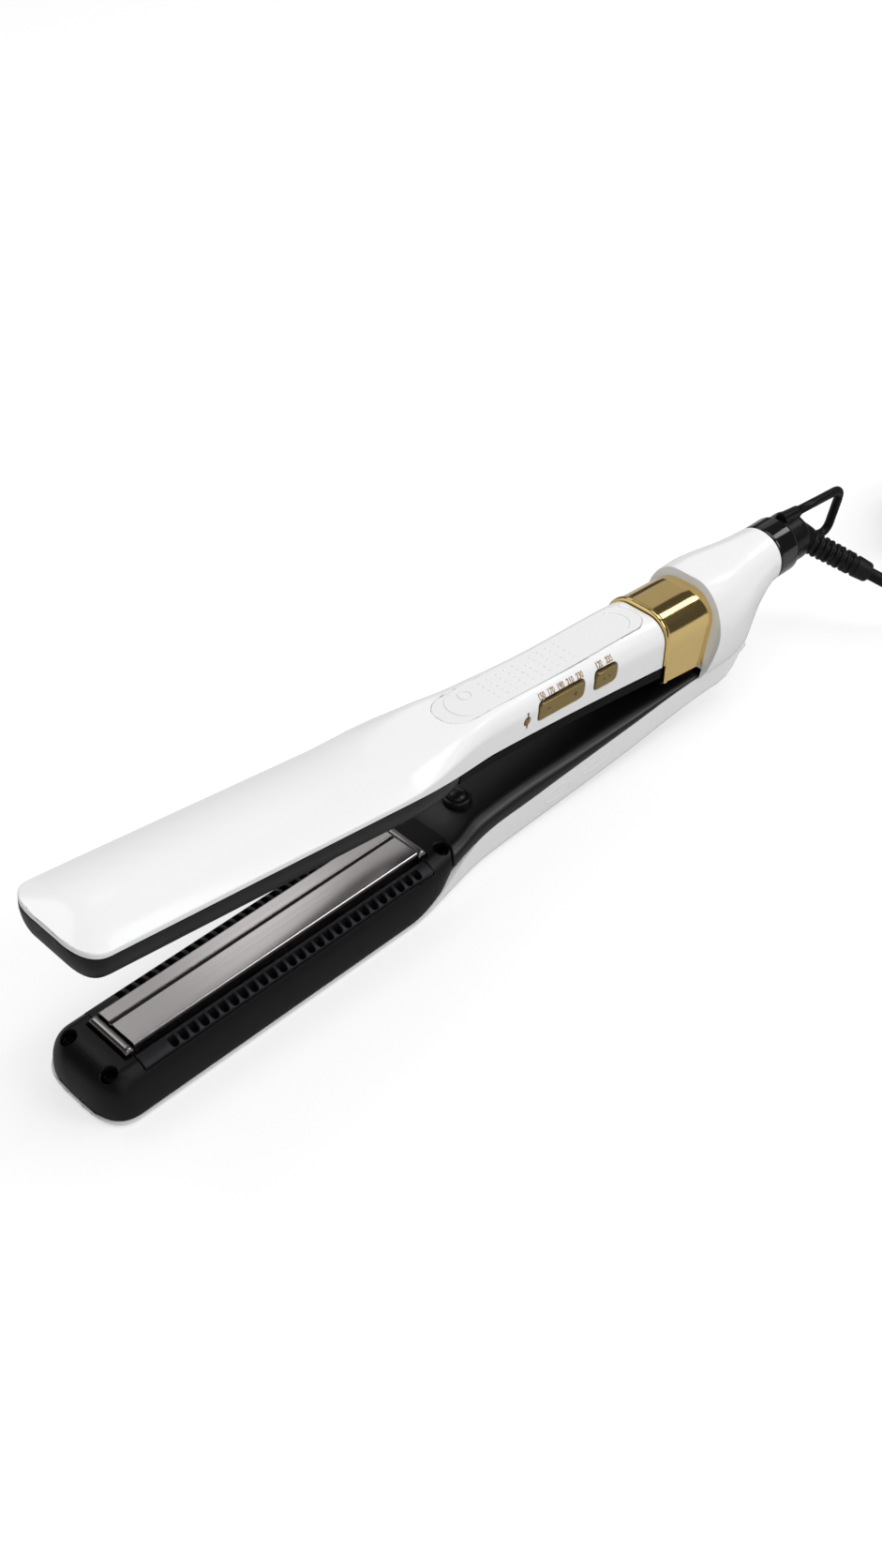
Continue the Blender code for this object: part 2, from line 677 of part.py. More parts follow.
def build_lower_cover():
    """Black inner side of the lower handle, with the rubber bumper that the upper arm meets."""
    stations = [HOUSING_END + GAP, HANDLE_FRONT - 4] + span_stations(HANDLE_FRONT, HINGE_X - 8, 6)
    rings = []
    for x in stations:
        low, high = lower_border(x) + GAP, lower_inner(x)
        shoulder = COVER_SHOULDER, (high - low) * 0.85
        rings.append(across(x, section(lower_half(x), low, high, (0, 0), shoulder)))
    cover = loft("lower_inner_cover", rings, BLACK)

    x = NECK_FRONT + BUMPER_BACK_FROM_NECK
    seat = lower_inner(x) - 1.4
    base = point(x, 0, seat)
    up = Vector((0, 0, 1))
    well = [(0, BUMPER_COLLAR_RADIUS + GAP), (12, BUMPER_COLLAR_RADIUS + GAP)]
    shape_with(cover, turned("bumper_well", well, base, up, None, None, 24))
    collar = turned("bumper_collar", [(GAP, BUMPER_COLLAR_RADIUS), (3.6, BUMPER_COLLAR_RADIUS),
                                      (4.2, BUMPER_COLLAR_RADIUS - 0.6)], base, up, BLACK, None, 24)
    bore = [(-2, BUMPER_RADIUS + GAP), (12, BUMPER_RADIUS + GAP)]
    shape_with(collar, turned("bumper_bore", bore, base, up, None, None, 24))
    top = UPPER_INNER_FACE - GAP - seat
    dome = [(GAP, BUMPER_RADIUS), (top - 2.2, BUMPER_RADIUS), (top - 0.9, BUMPER_RADIUS * 0.86),
            (top - 0.2, BUMPER_RADIUS * 0.52), (top, BUMPER_RADIUS * 0.2)]
    turned("bumper", dome, base, up, RUBBER, None, 20)


def build_hinge(pivot):
    """Bracket on the lower shell, pin, return spring, and the knuckle of the upper arm."""
    ear_inner = KNUCKLE_HALF_WIDTH + GAP * 2
    ear_outer = ear_inner + EAR_THICKNESS
    front, rear = HINGE_X - 7.5, HINGE_X + 7.0
    seat = max(lower_bottom(x) for x in (front, HINGE_X, rear)) + FLOOR + GAP
    round_top = [(HINGE_X + KNUCKLE_RADIUS * math.cos(math.radians(a)),
                  HINGE_HEIGHT + KNUCKLE_RADIUS * math.sin(math.radians(a))) for a in range(0, 181, 20)]
    outline = [(front, seat), (rear, seat)] + round_top
    bracket = extruded("hinge_bracket", outline, -ear_outer, ear_outer, STEEL)
    slot_floor = HINGE_HEIGHT - KNUCKLE_RADIUS - GAP * 2
    low = (front - 2, -ear_inner, slot_floor)
    high = (rear + 2, ear_inner, HINGE_HEIGHT + 10)
    shape_with(bracket, block("bracket_slot", low, high))
    across_tool = Vector((0, 1, 0))
    centre = point(HINGE_X, 0, HINGE_HEIGHT)
    bore = [(-20, PIN_RADIUS + GAP), (20, PIN_RADIUS + GAP)]
    shape_with(bracket, turned("bracket_bore", bore, centre, across_tool, None, None, 16))
    reach = ear_outer + 1.2
    turned("hinge_pin", [(-reach, PIN_RADIUS - 0.4), (-reach + 0.4, PIN_RADIUS), (reach - 0.4, PIN_RADIUS),
                         (reach, PIN_RADIUS - 0.4)], centre, across_tool, STEEL, None, 16)

    leg_front = BAND_FRONT + 3.0
    leg_top = BAND_BOTTOM + 12.0
    waist = math.degrees(math.asin(min(0.95, (BAND_BOTTOM + GAP - HINGE_HEIGHT) / KNUCKLE_RADIUS)))
    turns = span_stations(180 - waist, 450, 14)
    round_rear = [(HINGE_X + KNUCKLE_RADIUS * math.cos(math.radians(a)),
                   HINGE_HEIGHT + KNUCKLE_RADIUS * math.sin(math.radians(a))) for a in turns]
    outline = [(leg_front, leg_top), (leg_front, BAND_BOTTOM + GAP)] + round_rear
    knuckle_far = 0.2
    knuckle = extruded("upper_hinge_knuckle", outline, -KNUCKLE_HALF_WIDTH, knuckle_far, BLACK, pivot)
    shape_with(knuckle, turned("knuckle_bore", bore, centre, across_tool, None, pivot, 16))
    build_spring(knuckle_far)


def build_spring(start_y):
    """Torsion spring on the pin, beside the knuckle, with its free leg forward over the tray."""
    first = start_y + GAP + SPRING_WIRE_RADIUS
    places = [(HINGE_X - 7.0, first, HINGE_HEIGHT - SPRING_MEAN_RADIUS)]
    per_turn = 10
    for step in range(round(SPRING_TURNS * per_turn) + 1):
        angle = -math.pi / 2 - 2 * math.pi * step / per_turn
        y = first + SPRING_PITCH * step / per_turn
        places.append((HINGE_X + SPRING_MEAN_RADIUS * math.cos(angle), y,
                       HINGE_HEIGHT + SPRING_MEAN_RADIUS * math.sin(angle)))
    tube("hinge_spring", places, SPRING_WIRE_RADIUS, STEEL, 1)


def build_upper_shell(pivot):
    """White top of the upper arm, open below, from the tip to the gold band."""
    handle = span_stations(HANDLE_FRONT, BAND_FRONT - GAP, 5)[1:]
    rings = []
    for x in upper_tip_stations() + [NECK_FRONT - 8] + neck_stations() + handle:
        lean = BAND_LEAN if x == handle[-1] else 0.0
        outline = section(upper_half(x), upper_border(x), upper_top(x), (0, 0), upper_edge(x))
        rings.append(across(x, outline, as_lower, lean, BAND_BOTTOM))
    shell = loft("upper_outer_shell", rings, WHITE, pivot)
    hollow = []
    for x in [WALL, UPPER_TIP_RADIUS, NECK_FRONT - 8] + neck_stations() + handle[:-1] + [BAND_FRONT + 4]:
        half, top = upper_half(x) - WALL, upper_top(x) - WALL - SHELL_EXTRA
        wide, tall = upper_edge(x)
        rounding = min(wide, half * 0.7), min(tall, top - upper_border(x) - 0.2)
        hollow.append(across(x, section(half, UPPER_INNER_FACE - 4, top, (0, 0), rounding)))
    shape_with(shell, loft("upper_shell_hollow", hollow, None, pivot))
    return shell


def build_upper_cover(pivot):
    """Black inner side of the upper handle; it runs on under the gold band to the hinge."""
    under_band = BAND_BOTTOM - GAP
    rings = []
    stations = [HOUSING_END + GAP, HANDLE_FRONT - 4] + span_stations(HANDLE_FRONT, BAND_FRONT - GAP, 5)
    for x in stations:
        low, high = UPPER_INNER_FACE, upper_border(x) - GAP
        lean = BAND_LEAN if x == stations[-1] else 0.0
        outline = section(upper_half(x), low, high, (COVER_SHOULDER, (high - low) * 0.6))
        rings.append(across(x, outline, as_lower, lean, BAND_BOTTOM))
    for x in (BAND_FRONT - GAP + 0.1, HINGE_X - KNUCKLE_RADIUS - 1.6):
        low = UPPER_INNER_FACE
        outline = section(upper_half(x), low, under_band, (4.0, (under_band - low) * 0.6))
        rings.append(across(x, outline, as_lower, BAND_LEAN, BAND_BOTTOM))
    cover = loft("upper_inner_cover", rings, BLACK, pivot)
    hollow = []
    for x in [HOUSING_END + 3, HANDLE_FRONT] + span_stations(HANDLE_FRONT, BAND_FRONT - 4, 3)[1:]:
        half = upper_half(x) - WALL - GAP
        hollow.append(across(x, section(half, UPPER_INNER_FACE + WALL, UPPER_HANDLE_TOP, (3.0, 2.0))))
    shape_with(cover, loft("upper_cover_hollow", hollow, None, pivot))


def build_band(pivot):
    """Polished band that wraps the top and sides of the upper arm and slides into the tail's hood."""
    end = HOOD_FRONT + 1.0
    rings = []
    hollow = []
    rounding = BAND_HALF_WIDTH - BAND_SIDE_FLAT, BAND_ROUND
    for x in span_stations(BAND_FRONT, end, 3):
        outline = section(BAND_HALF_WIDTH, BAND_BOTTOM, BAND_TOP, (0, 0), rounding)
        rings.append(across(x, outline, as_lower, BAND_LEAN, BAND_BOTTOM))
    for x in (BAND_FRONT - 8, end + 3):
        inner = BAND_HALF_WIDTH - BAND_WALL
        hollow.append(across(x, section(inner, BAND_BOTTOM - 4, BAND_TOP - BAND_WALL, (0, 0),
                                        (rounding[0] - BAND_WALL, rounding[1] - BAND_WALL))))
    band = loft("gold_band", rings, GOLD, pivot)
    shape_with(band, loft("band_hollow", hollow, None, pivot))


def build_keys(shell, pivot):
    """Temperature rocker and power key in windows of the near wall, with board and switches behind."""
    wide_x = HANDLE_FRONT + WIDE_KEY_BACK_FROM_HANDLE
    small_x = wide_x + KEY_SPACING
    places = (("temperature_key", wide_x, WIDE_KEY_LENGTH), ("power_key", small_x, SMALL_KEY_LENGTH))
    board_y = -upper_half(wide_x) + BOARD_BEHIND_WALL
    for name, x, length in places:
        face = -upper_half(x) - KEY_PROUD
        middle = KEY_CENTRE_HEIGHT + KEY_TILT * (x - wide_x)
        edge = KEY_CORNER, KEY_CORNER
        outline = section(length / 2, -KEY_HEIGHT / 2, KEY_HEIGHT / 2, edge, edge)
        rings = [[point(x + u, y, middle + KEY_TILT * u + v) for u, v in outline]
                 for y in (face, face + KEY_THICKNESS)]
        loft(name, rings, KEY_GOLD, pivot)
        edge = KEY_CORNER + KEY_CLEARANCE, KEY_CORNER + KEY_CLEARANCE
        grown = section(length / 2 + KEY_CLEARANCE, -KEY_HEIGHT / 2 - KEY_CLEARANCE,
                        KEY_HEIGHT / 2 + KEY_CLEARANCE, edge, edge)
        rings = [[point(x + u, y, middle + KEY_TILT * u + v) for u, v in grown]
                 for y in (face - 3, face + KEY_THICKNESS + 1.5)]
        shape_with(shell, loft(name + "_window", rings, None, pivot))
    switches = (("key_switch_cooler", wide_x - SWITCH_SPACING / 2),
                ("key_switch_hotter", wide_x + SWITCH_SPACING / 2), ("key_switch_power", small_x))
    for name, x in switches:
        front = -upper_half(x) - KEY_PROUD + KEY_THICKNESS + KEY_TRAVEL
        low = (x - SWITCH_HALF_WIDTH, front, KEY_CENTRE_HEIGHT - SWITCH_HALF_WIDTH)
        high = (x + SWITCH_HALF_WIDTH, board_y - GAP, KEY_CENTRE_HEIGHT + SWITCH_HALF_WIDTH)
        block(name, low, high, BLACK, pivot)
    board_front = HANDLE_FRONT + BOARD_INSET
    low = (board_front, board_y, UPPER_INNER_FACE + WALL + GAP)
    high = (BAND_FRONT - BOARD_INSET, board_y + BOARD_THICKNESS, upper_top(board_front) - WALL * 2)
    block("control_board", low, high, BOARD_GREEN, pivot)

    lens_x = wide_x - INDICATOR_AHEAD_OF_KEY
    surface = -upper_half(lens_x)
    origin = point(lens_x, surface, KEY_CENTRE_HEIGHT - INDICATOR_BELOW_KEYS)
    inward = Vector((0, 1, 0))
    profile = [(-0.2, INDICATOR_RADIUS * 0.7), (0.1, INDICATOR_RADIUS), (WALL + 0.8, INDICATOR_RADIUS)]
    turned("indicator_lens", profile, origin, inward, AMBER, pivot, 12)
    bore = [(-3, INDICATOR_RADIUS + GAP), (WALL + 2, INDICATOR_RADIUS + GAP)]
    shape_with(shell, turned("indicator_bore", bore, origin, inward, None, pivot, 12))


def build_grip_panel(shell, pivot):
    """Thin textured panel with round ends, let flush into the top of the upper handle."""
    start = HANDLE_FRONT - PANEL_FRONT_AHEAD_OF_HANDLE
    front = tip_stations(start, PANEL_HALF_WIDTH)
    rear = [2 * start + PANEL_LENGTH - x for x in reversed(front)]
    panel_rings = []
    pocket_rings = []
    for x in front + span_stations(front[-1], rear[0], 6)[1:-1] + rear:
        plan = tip_share(min(x, 2 * start + PANEL_LENGTH - x), start, PANEL_HALF_WIDTH)
        half = PANEL_END_HALF_WIDTH + (PANEL_HALF_WIDTH - PANEL_END_HALF_WIDTH) * plan
        top = upper_top(x)
        panel_rings.append(across(x, section(half, top - PANEL_DEPTH, top - PANEL_SUNK)))
        pocket_rings.append(across(x, section(half + GAP, top - PANEL_DEPTH - GAP, top + WALL * 2)))
    pocket_rings[0] = [place - Vector((GAP * MM, 0, 0)) for place in pocket_rings[0]]
    pocket_rings[-1] = [place + Vector((GAP * MM, 0, 0)) for place in pocket_rings[-1]]
    loft("grip_panel", panel_rings, PANEL_WHITE, pivot)
    shape_with(shell, loft("grip_pocket", pocket_rings, None, pivot))


def build_tail():
    """Two white shells round the hinge that taper to the black collar, hollow for the hood and the cord."""
    stations = span_stations(HOOD_FRONT, TRAY_END, 3) + span_stations(TRAY_END, COLLAR_FRONT, 5)[1:]
    lower, upper = [], []
    for x in stations:
        seam, low, high = tail_seam(x), tail_low(x), tail_high(x)
        side = along(x, (HOOD_FRONT, TRAY_ROUND), (TRAY_END, TRAY_ROUND / 2), (COLLAR_FRONT - 12, 6.0),
                     (COLLAR_FRONT, COLLAR_RADIUS - GAP))
        under = side, (seam - low) * 0.9
        lower.append(across(x, section(tail_half(x), low, seam - GAP / 2, under)))
        crown = along(x, (HOOD_FRONT, HOOD_HALF_WIDTH - 3.9), (COLLAR_FRONT, COLLAR_RADIUS - GAP))
        over = crown, (high - seam) * 0.92
        upper.append(across(x, section(tail_half(x), seam + GAP / 2, high, (0, 0), over)))
    shells = loft("tail_lower_shell", lower, WHITE), loft("tail_upper_shell", upper, WHITE)
    inner = BAND_HALF_WIDTH + HOOD_CLEARANCE
    rounding = BAND_HALF_WIDTH - BAND_SIDE_FLAT, BAND_ROUND
    opening = section(inner, HANDLE_BORDER_REAR - 4, BAND_TOP + HOOD_CLEARANCE, (0, 0), rounding)
    axis = Vector((1, 0, 0))
    bore_radius = STEM_RADIUS + STEM_FLANGE
    bore = [(0, bore_radius), (COLLAR_FRONT - HOOD_END + 6, bore_radius)]
    bore_from = point(HOOD_END - 3, 0, COLLAR_HEIGHT)
    for shell in shells:
        rings = [across(x, opening) for x in (HOOD_FRONT - 3, HOOD_END)]
        shape_with(shell, loft(shell.name + "_hood", rings))
        shape_with(shell, turned(shell.name + "_bore", bore, bore_from, axis, None, None, 20))

    edge = 0.5
    profile = [(GAP, COLLAR_RADIUS - edge), (GAP + edge, COLLAR_RADIUS),
               (GAP + COLLAR_LENGTH - edge, COLLAR_RADIUS), (GAP + COLLAR_LENGTH, COLLAR_RADIUS - edge)]
    collar_from = point(COLLAR_FRONT, 0, COLLAR_HEIGHT)
    collar = turned("swivel_collar", profile, collar_from, axis, GLOSS_BLACK, None, 32)
    bore = [(-2, STEM_RADIUS + GAP), (COLLAR_LENGTH + 4, STEM_RADIUS + GAP)]
    shape_with(collar, turned("collar_bore", bore, collar_from, axis, None, None, 24))


# Direction in which the cord leaves the swivel, and where its sleeve starts
RELIEF_START = Vector((COLLAR_REAR + 13.5, -5.0, COLLAR_HEIGHT - 3.3))
RELIEF_WAY = Vector((12.0, -16.8, -10.0)).normalized()


def build_swivel():
    """Turning head on the collar, with the elbow for the cord and the hanging loop."""
    axis = Vector((1, 0, 0))
    flange = STEM_RADIUS + STEM_FLANGE - GAP
    flange_end = STEM_FLANGE_LENGTH - STEM_LENGTH
    profile = [(-STEM_LENGTH, flange), (flange_end, flange), (flange_end, STEM_RADIUS),
               (GAP, STEM_RADIUS), (GAP, SWIVEL_RADIUS - 0.6), (GAP + 0.6, SWIVEL_RADIUS),
               (SWIVEL_LENGTH - 3, SWIVEL_RADIUS), (SWIVEL_LENGTH - 0.9, SWIVEL_RADIUS - 0.9),
               (SWIVEL_LENGTH, SWIVEL_RADIUS - 1.8)]
    head = turned("swivel_head", profile, point(COLLAR_REAR, 0, COLLAR_HEIGHT), axis, RUBBER, None, 28)
    elbow_from = point(*(RELIEF_START - RELIEF_WAY * ELBOW_LENGTH))
    elbow = [(0, ELBOW_RADIUS), (ELBOW_LENGTH - 3, ELBOW_RADIUS), (ELBOW_LENGTH - GAP, RELIEF_RADIUS + 0.2)]
    shape_with(head, turned("swivel_elbow", elbow, elbow_from, RELIEF_WAY, None, None, 16), 'UNION')

    top = Vector((COLLAR_REAR + 2.5, 0.0, COLLAR_HEIGHT + SWIVEL_RADIUS + 0.2))
    bend = Vector((COLLAR_REAR + 36.5, 0.0, COLLAR_HEIGHT + 6.2))
    low = Vector((COLLAR_REAR + 32.4, 1.0, COLLAR_HEIGHT - 11.1))
    way = (bend - top).normalized()
    boss = [(0, LOOP_ROD_RADIUS + 1.0), (LOOP_BOSS_LENGTH, LOOP_ROD_RADIUS + 0.7)]
    shape_with(head, turned("swivel_loop_boss", boss, point(*top), way, None, None, 12), 'UNION')
    root = Vector((COLLAR_REAR + SWIVEL_LENGTH + GAP, 4.0, COLLAR_HEIGHT - 5.7))
    places = [top + way * (LOOP_BOSS_LENGTH + GAP), top + (bend - top) * 0.55, top + (bend - top) * 0.86]
    places += rounded_bend(top, bend, low, LOOP_BEND_CUT)
    places += rounded_bend(bend, low, root, LOOP_BEND_CUT)
    places += [low + (root - low) * 0.6, root + Vector((1.5, 0, -0.3)), root]
    tube("hanging_loop", [tuple(place) for place in places], LOOP_ROD_RADIUS, RUBBER, 2)


def rounded_bend(before, peak, after, cut):
    """Five points round a bend, on a parabola between the two legs."""
    start = peak + (before - peak).normalized() * cut
    end = peak + (after - peak).normalized() * cut
    bend = []
    for step in range(5):
        t = step / 4
        bend.append(start * (1 - t) ** 2 + peak * 2 * t * (1 - t) + end * t ** 2)
    return bend


def build_relief():
    """Ribbed sleeve that keeps the cord from kinking where it leaves the swivel."""
    profile = [(0, RELIEF_RADIUS)]
    pitch = (RELIEF_LENGTH - RELIEF_PLAIN_END) / RELIEF_RIBS
    groove = RELIEF_RADIUS - RELIEF_GROOVE
    for rib in range(RELIEF_RIBS):
        start = 1.0 + rib * pitch
        profile += [(start, RELIEF_RADIUS), (start + pitch * 0.2, groove), (start + pitch * 0.55, groove),
                    (start + pitch * 0.75, RELIEF_RADIUS)]
    profile += [(RELIEF_LENGTH - 0.8, RELIEF_RADIUS), (RELIEF_LENGTH, RELIEF_RADIUS - 0.6)]
    turned("strain_relief", profile, point(*RELIEF_START), RELIEF_WAY, RUBBER, None, 12)


# The coil that the unseen length of cord is wound into, and the route to it
COIL_CENTRE = Vector((COLLAR_REAR + COIL_BEHIND_COLLAR, -COIL_ASIDE, 0.0))
COIL_ENTRY_ANGLE = math.radians(270.0)
COIL_BASE = CORD_RADIUS + TIE_THICKNESS + TIE_SLACK + 0.2
COIL_RISE = 2 * CORD_RADIUS + COIL_LAYER_GAP
FINAL_ARC_RADIUS = 20.0
FINAL_ARC_TURN = math.radians(185.0)
TIE_TURN = math.radians(100.0)
END_RISE = 2 * CORD_RADIUS + TIE_THICKNESS + TIE_SLACK * 2 + GAP * 2


def eased(t):
    """A smooth step from 0 to 1."""
    t = min(1.0, max(0.0, t))
    return t * t * (3 - 2 * t)


def coil_points():
    """Layers that spiral in and out, climbing over half a turn where the spiral turns back."""
    places = []
    per_layer = round(COIL_TURNS * COIL_POINTS)
    layers = round(COIL_LAYERS)
    climb = COIL_POINTS / 2
    last_climb = COIL_POINTS / 4
    for step in range(layers * per_layer + 1):
        layer = min(step // per_layer, layers - 1)
        share = (step - layer * per_layer) / per_layer
        inward = share if layer % 2 == 0 else 1 - share
        radius = COIL_OUTER_RADIUS - COIL_STEP * COIL_TURNS * inward
        angle = COIL_ENTRY_ANGLE + 2 * math.pi * step / COIL_POINTS
        height = COIL_BASE
        for turn_back in range(1, layers):
            height += COIL_RISE * eased((step - turn_back * per_layer) / climb + 0.5)
        height += END_RISE * eased((step - layers * per_layer) / last_climb + 1.0)
        places.append(COIL_CENTRE + Vector((radius * math.cos(angle), radius * math.sin(angle), height)))
    return places


def plug_axis():
    """Start and direction of the plug, which lies on top of the coil."""
    turned_to = COIL_ENTRY_ANGLE + FINAL_ARC_TURN
    hub = COIL_CENTRE + polar(COIL_OUTER_RADIUS - FINAL_ARC_RADIUS, COIL_ENTRY_ANGLE)
    way = Vector((-math.sin(turned_to), math.cos(turned_to), 0.0))
    start = hub + polar(FINAL_ARC_RADIUS, turned_to) + way * 6.0
    top_layer = COIL_BASE + COIL_RISE * (COIL_LAYERS - 1)
    start.z = top_layer + CORD_RADIUS + GAP * 2 + PLUG_THICKNESS / 2
    return start, way


def polar(radius, angle):
    return Vector((radius * math.cos(angle), radius * math.sin(angle), 0.0))


def coil_end_points():
    """The last bend of the cord, over the top of the coil to the plug."""
    hub = COIL_CENTRE + polar(COIL_OUTER_RADIUS - FINAL_ARC_RADIUS, COIL_ENTRY_ANGLE)
    level = COIL_BASE + COIL_RISE * (COIL_LAYERS - 1) + END_RISE
    start, way = plug_axis()
    places = []
    steps = 15
    for step in range(1, steps + 1):
        share = step / steps
        height = level + (start.z - level) * eased((share - 0.4) / 0.6)
        place = hub + polar(FINAL_ARC_RADIUS, COIL_ENTRY_ANGLE + FINAL_ARC_TURN * share)
        places.append(place + Vector((0, 0, height)))
    places.append(start - way * GAP)
    return places


def cord_route():
    """Lead from the strain relief down to the ground and along it to the first turn of the coil."""
    start = RELIEF_START + RELIEF_WAY * (RELIEF_LENGTH + GAP)
    entry = COIL_CENTRE + polar(COIL_OUTER_RADIUS, COIL_ENTRY_ANGLE) + Vector((0, 0, COIL_BASE))
    way = Vector((-math.sin(COIL_ENTRY_ANGLE), math.cos(COIL_ENTRY_ANGLE), 0.0))
    knots = [start, start + RELIEF_WAY * 6, Vector((COLLAR_REAR + 41.0, -39.2, 12.6)),
             Vector((COLLAR_REAR + 54.0, -45.2, 6.9)), Vector((COLLAR_REAR + 76.0, -46.4, 4.4)),
             entry - way * 14, entry - way * GAP]
    return smooth_route(knots, 3)


def least_self_gap(places, radius):
    """Least distance between the surfaces of turns that pass each other, in millimetres."""
    finer = []
    for a, b in zip(places, places[1:]):
        finer += [a, a + (b - a) * 0.5]
    least = 1e9
    skip = 12
    for index, a in enumerate(finer):
        for b in finer[index + skip:]:
            least = min(least, (a - b).length_squared)
    return math.sqrt(least) - 2 * radius


def build_cord():
    """Lead, coil with its tie, and the plug on top of it."""
    tube("cord_lead", [tuple(place) for place in cord_route()], CORD_RADIUS, RUBBER, 2)
    wound = coil_points() + coil_end_points()
    tube("cord_coil", [tuple(place) for place in wound], CORD_RADIUS, RUBBER, 1)
    print(f"least gap between turns of the coil: {least_self_gap(wound, CORD_RADIUS):.2f} mm")
    build_tie()
    build_plug()


def build_tie():
    """Flat strap that holds the coil's turns together."""
    inner = COIL_OUTER_RADIUS - COIL_STEP * COIL_TURNS - CORD_RADIUS - TIE_SLACK * 2
    outer = COIL_OUTER_RADIUS + CORD_RADIUS + TIE_SLACK * 2
    low = COIL_BASE - CORD_RADIUS - TIE_SLACK
    high = COIL_BASE + COIL_RISE * (COIL_LAYERS - 1) + CORD_RADIUS + TIE_SLACK
    outward = polar(1.0, COIL_ENTRY_ANGLE + TIE_TURN)
    sideways = polar(1.0, COIL_ENTRY_ANGLE + TIE_TURN + math.pi / 2)
    made = bmesh.new()
    rows = []
    for grow in (0.0, TIE_THICKNESS):
        outline = [(inner - grow, low - grow), (outer + grow, low - grow), (outer + grow, high + grow),
                   (inner - grow, high + grow)]
        for shift in (-TIE_WIDTH / 2, TIE_WIDTH / 2):
            row = []
            for reach, z in outline:
                place = COIL_CENTRE + outward * reach + sideways * shift + Vector((0, 0, z))
                row.append(made.verts.new(point(*place)))
            rows.append(row)
    inside_a, inside_b, outside_a, outside_b = rows
    sides = ((inside_a, inside_b), (outside_a, outside_b), (inside_a, outside_a), (inside_b, outside_b))
    for first, second in sides:
        for index in range(4):
            after = (index + 1) % 4
            made.faces.new((first[index], first[after], second[after], second[index]))
    finish_mesh("cord_tie", made, RUBBER)


def build_plug():
    """Flat two-blade plug with a waisted neck."""
    start, way = plug_axis()
    side = Vector((-way.y, way.x, 0.0))
    neck, thick = CORD_RADIUS + 2.0, PLUG_THICKNESS / 2
    profile = ((0.0, neck, neck), (6.0, neck + 0.3, neck + 0.2), (9.5, PLUG_HALF_WIDTH * 0.72, thick - 0.4),
               (14.0, PLUG_HALF_WIDTH, thick), (PLUG_LENGTH - 3, PLUG_HALF_WIDTH, thick),
               (PLUG_LENGTH, PLUG_HALF_WIDTH - 1.4, thick - 1.2))
    rings = []
    for reach, half, tall in profile:
        edge = tall * 0.8, tall * 0.8
        rings.append(plug_ring(start, way, side, reach, section(half, -tall, tall, edge, edge)))
    loft("plug_body", rings, RUBBER)
    for name, sign in (("near", -1), ("far", 1)):
        origin = start + side * (sign * BLADE_SPACING / 2)
        tip = PLUG_LENGTH + GAP + BLADE_LENGTH
        rings = []
        for reach, drop in ((PLUG_LENGTH + GAP, 0.0), (tip - 1.5, 0.0), (tip, 0.3)):
            tall = BLADE_HALF_HEIGHT - drop * 3
            blade = section(BLADE_HALF_THICKNESS - drop, -tall, tall)
            rings.append(plug_ring(origin, way, side, reach, blade))
        loft(f"plug_pin_{name}", rings, STEEL)


def plug_ring(origin, way, side, reach, outline):
    return [point(*(origin + way * reach + side * u + Vector((0, 0, v)))) for u, v in outline]


clear_scene()
arm_pivot = bpy.data.objects.new("upper_arm_pivot", None)
bpy.context.collection.objects.link(arm_pivot)
arm_pivot.location = point(HINGE_X, 0, HINGE_HEIGHT)
arm_pivot.rotation_euler = (0, math.radians(OPEN_ANGLE), 0)

build_lower_shell()
build_head("lower", as_lower, None)
build_lower_cover()
build_head("upper", as_upper, arm_pivot)
top_shell = build_upper_shell(arm_pivot)
build_upper_cover(arm_pivot)
build_band(arm_pivot)
build_keys(top_shell, arm_pivot)
build_grip_panel(top_shell, arm_pivot)
build_hinge(arm_pivot)
build_tail()
build_swivel()
build_relief()
build_cord()
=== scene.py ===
import json
import math

import bmesh
import bpy
from mathutils import Matrix, Vector


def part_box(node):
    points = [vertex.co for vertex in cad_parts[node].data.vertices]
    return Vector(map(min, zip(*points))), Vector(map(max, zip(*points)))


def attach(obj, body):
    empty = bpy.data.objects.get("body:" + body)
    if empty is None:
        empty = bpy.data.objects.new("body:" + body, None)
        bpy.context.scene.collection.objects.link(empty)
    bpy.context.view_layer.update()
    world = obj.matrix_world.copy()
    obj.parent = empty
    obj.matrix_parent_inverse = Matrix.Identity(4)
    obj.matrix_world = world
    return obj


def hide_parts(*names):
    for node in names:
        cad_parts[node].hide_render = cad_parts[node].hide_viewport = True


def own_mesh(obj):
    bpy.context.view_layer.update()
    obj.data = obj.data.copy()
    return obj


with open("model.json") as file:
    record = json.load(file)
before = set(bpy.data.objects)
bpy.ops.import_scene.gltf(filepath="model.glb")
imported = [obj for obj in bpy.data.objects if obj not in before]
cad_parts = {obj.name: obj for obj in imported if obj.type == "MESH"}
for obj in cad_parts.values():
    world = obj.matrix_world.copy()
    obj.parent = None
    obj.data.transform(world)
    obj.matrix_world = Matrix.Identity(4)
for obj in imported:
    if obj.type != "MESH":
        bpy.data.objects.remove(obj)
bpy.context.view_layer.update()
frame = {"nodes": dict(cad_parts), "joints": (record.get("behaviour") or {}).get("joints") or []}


# Lower shell. The white tray that is the outside of the lower arm: a thin rim under the head, a
# deeper channel along the handle and a swept-up end under the tail. It is injection moulded in a
# glossy plastic, and everything else of the lower arm drops into it.
MM = 0.001
tip_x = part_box("lower_outer_shell")[0][0]


def at(x, y, z):
    """A place in millimetres from the tip of the lower arm, as metres in the frame."""
    return Vector((tip_x + x * MM, y * MM, z * MM))


def from_tip(metres):
    return (metres - tip_x) / MM


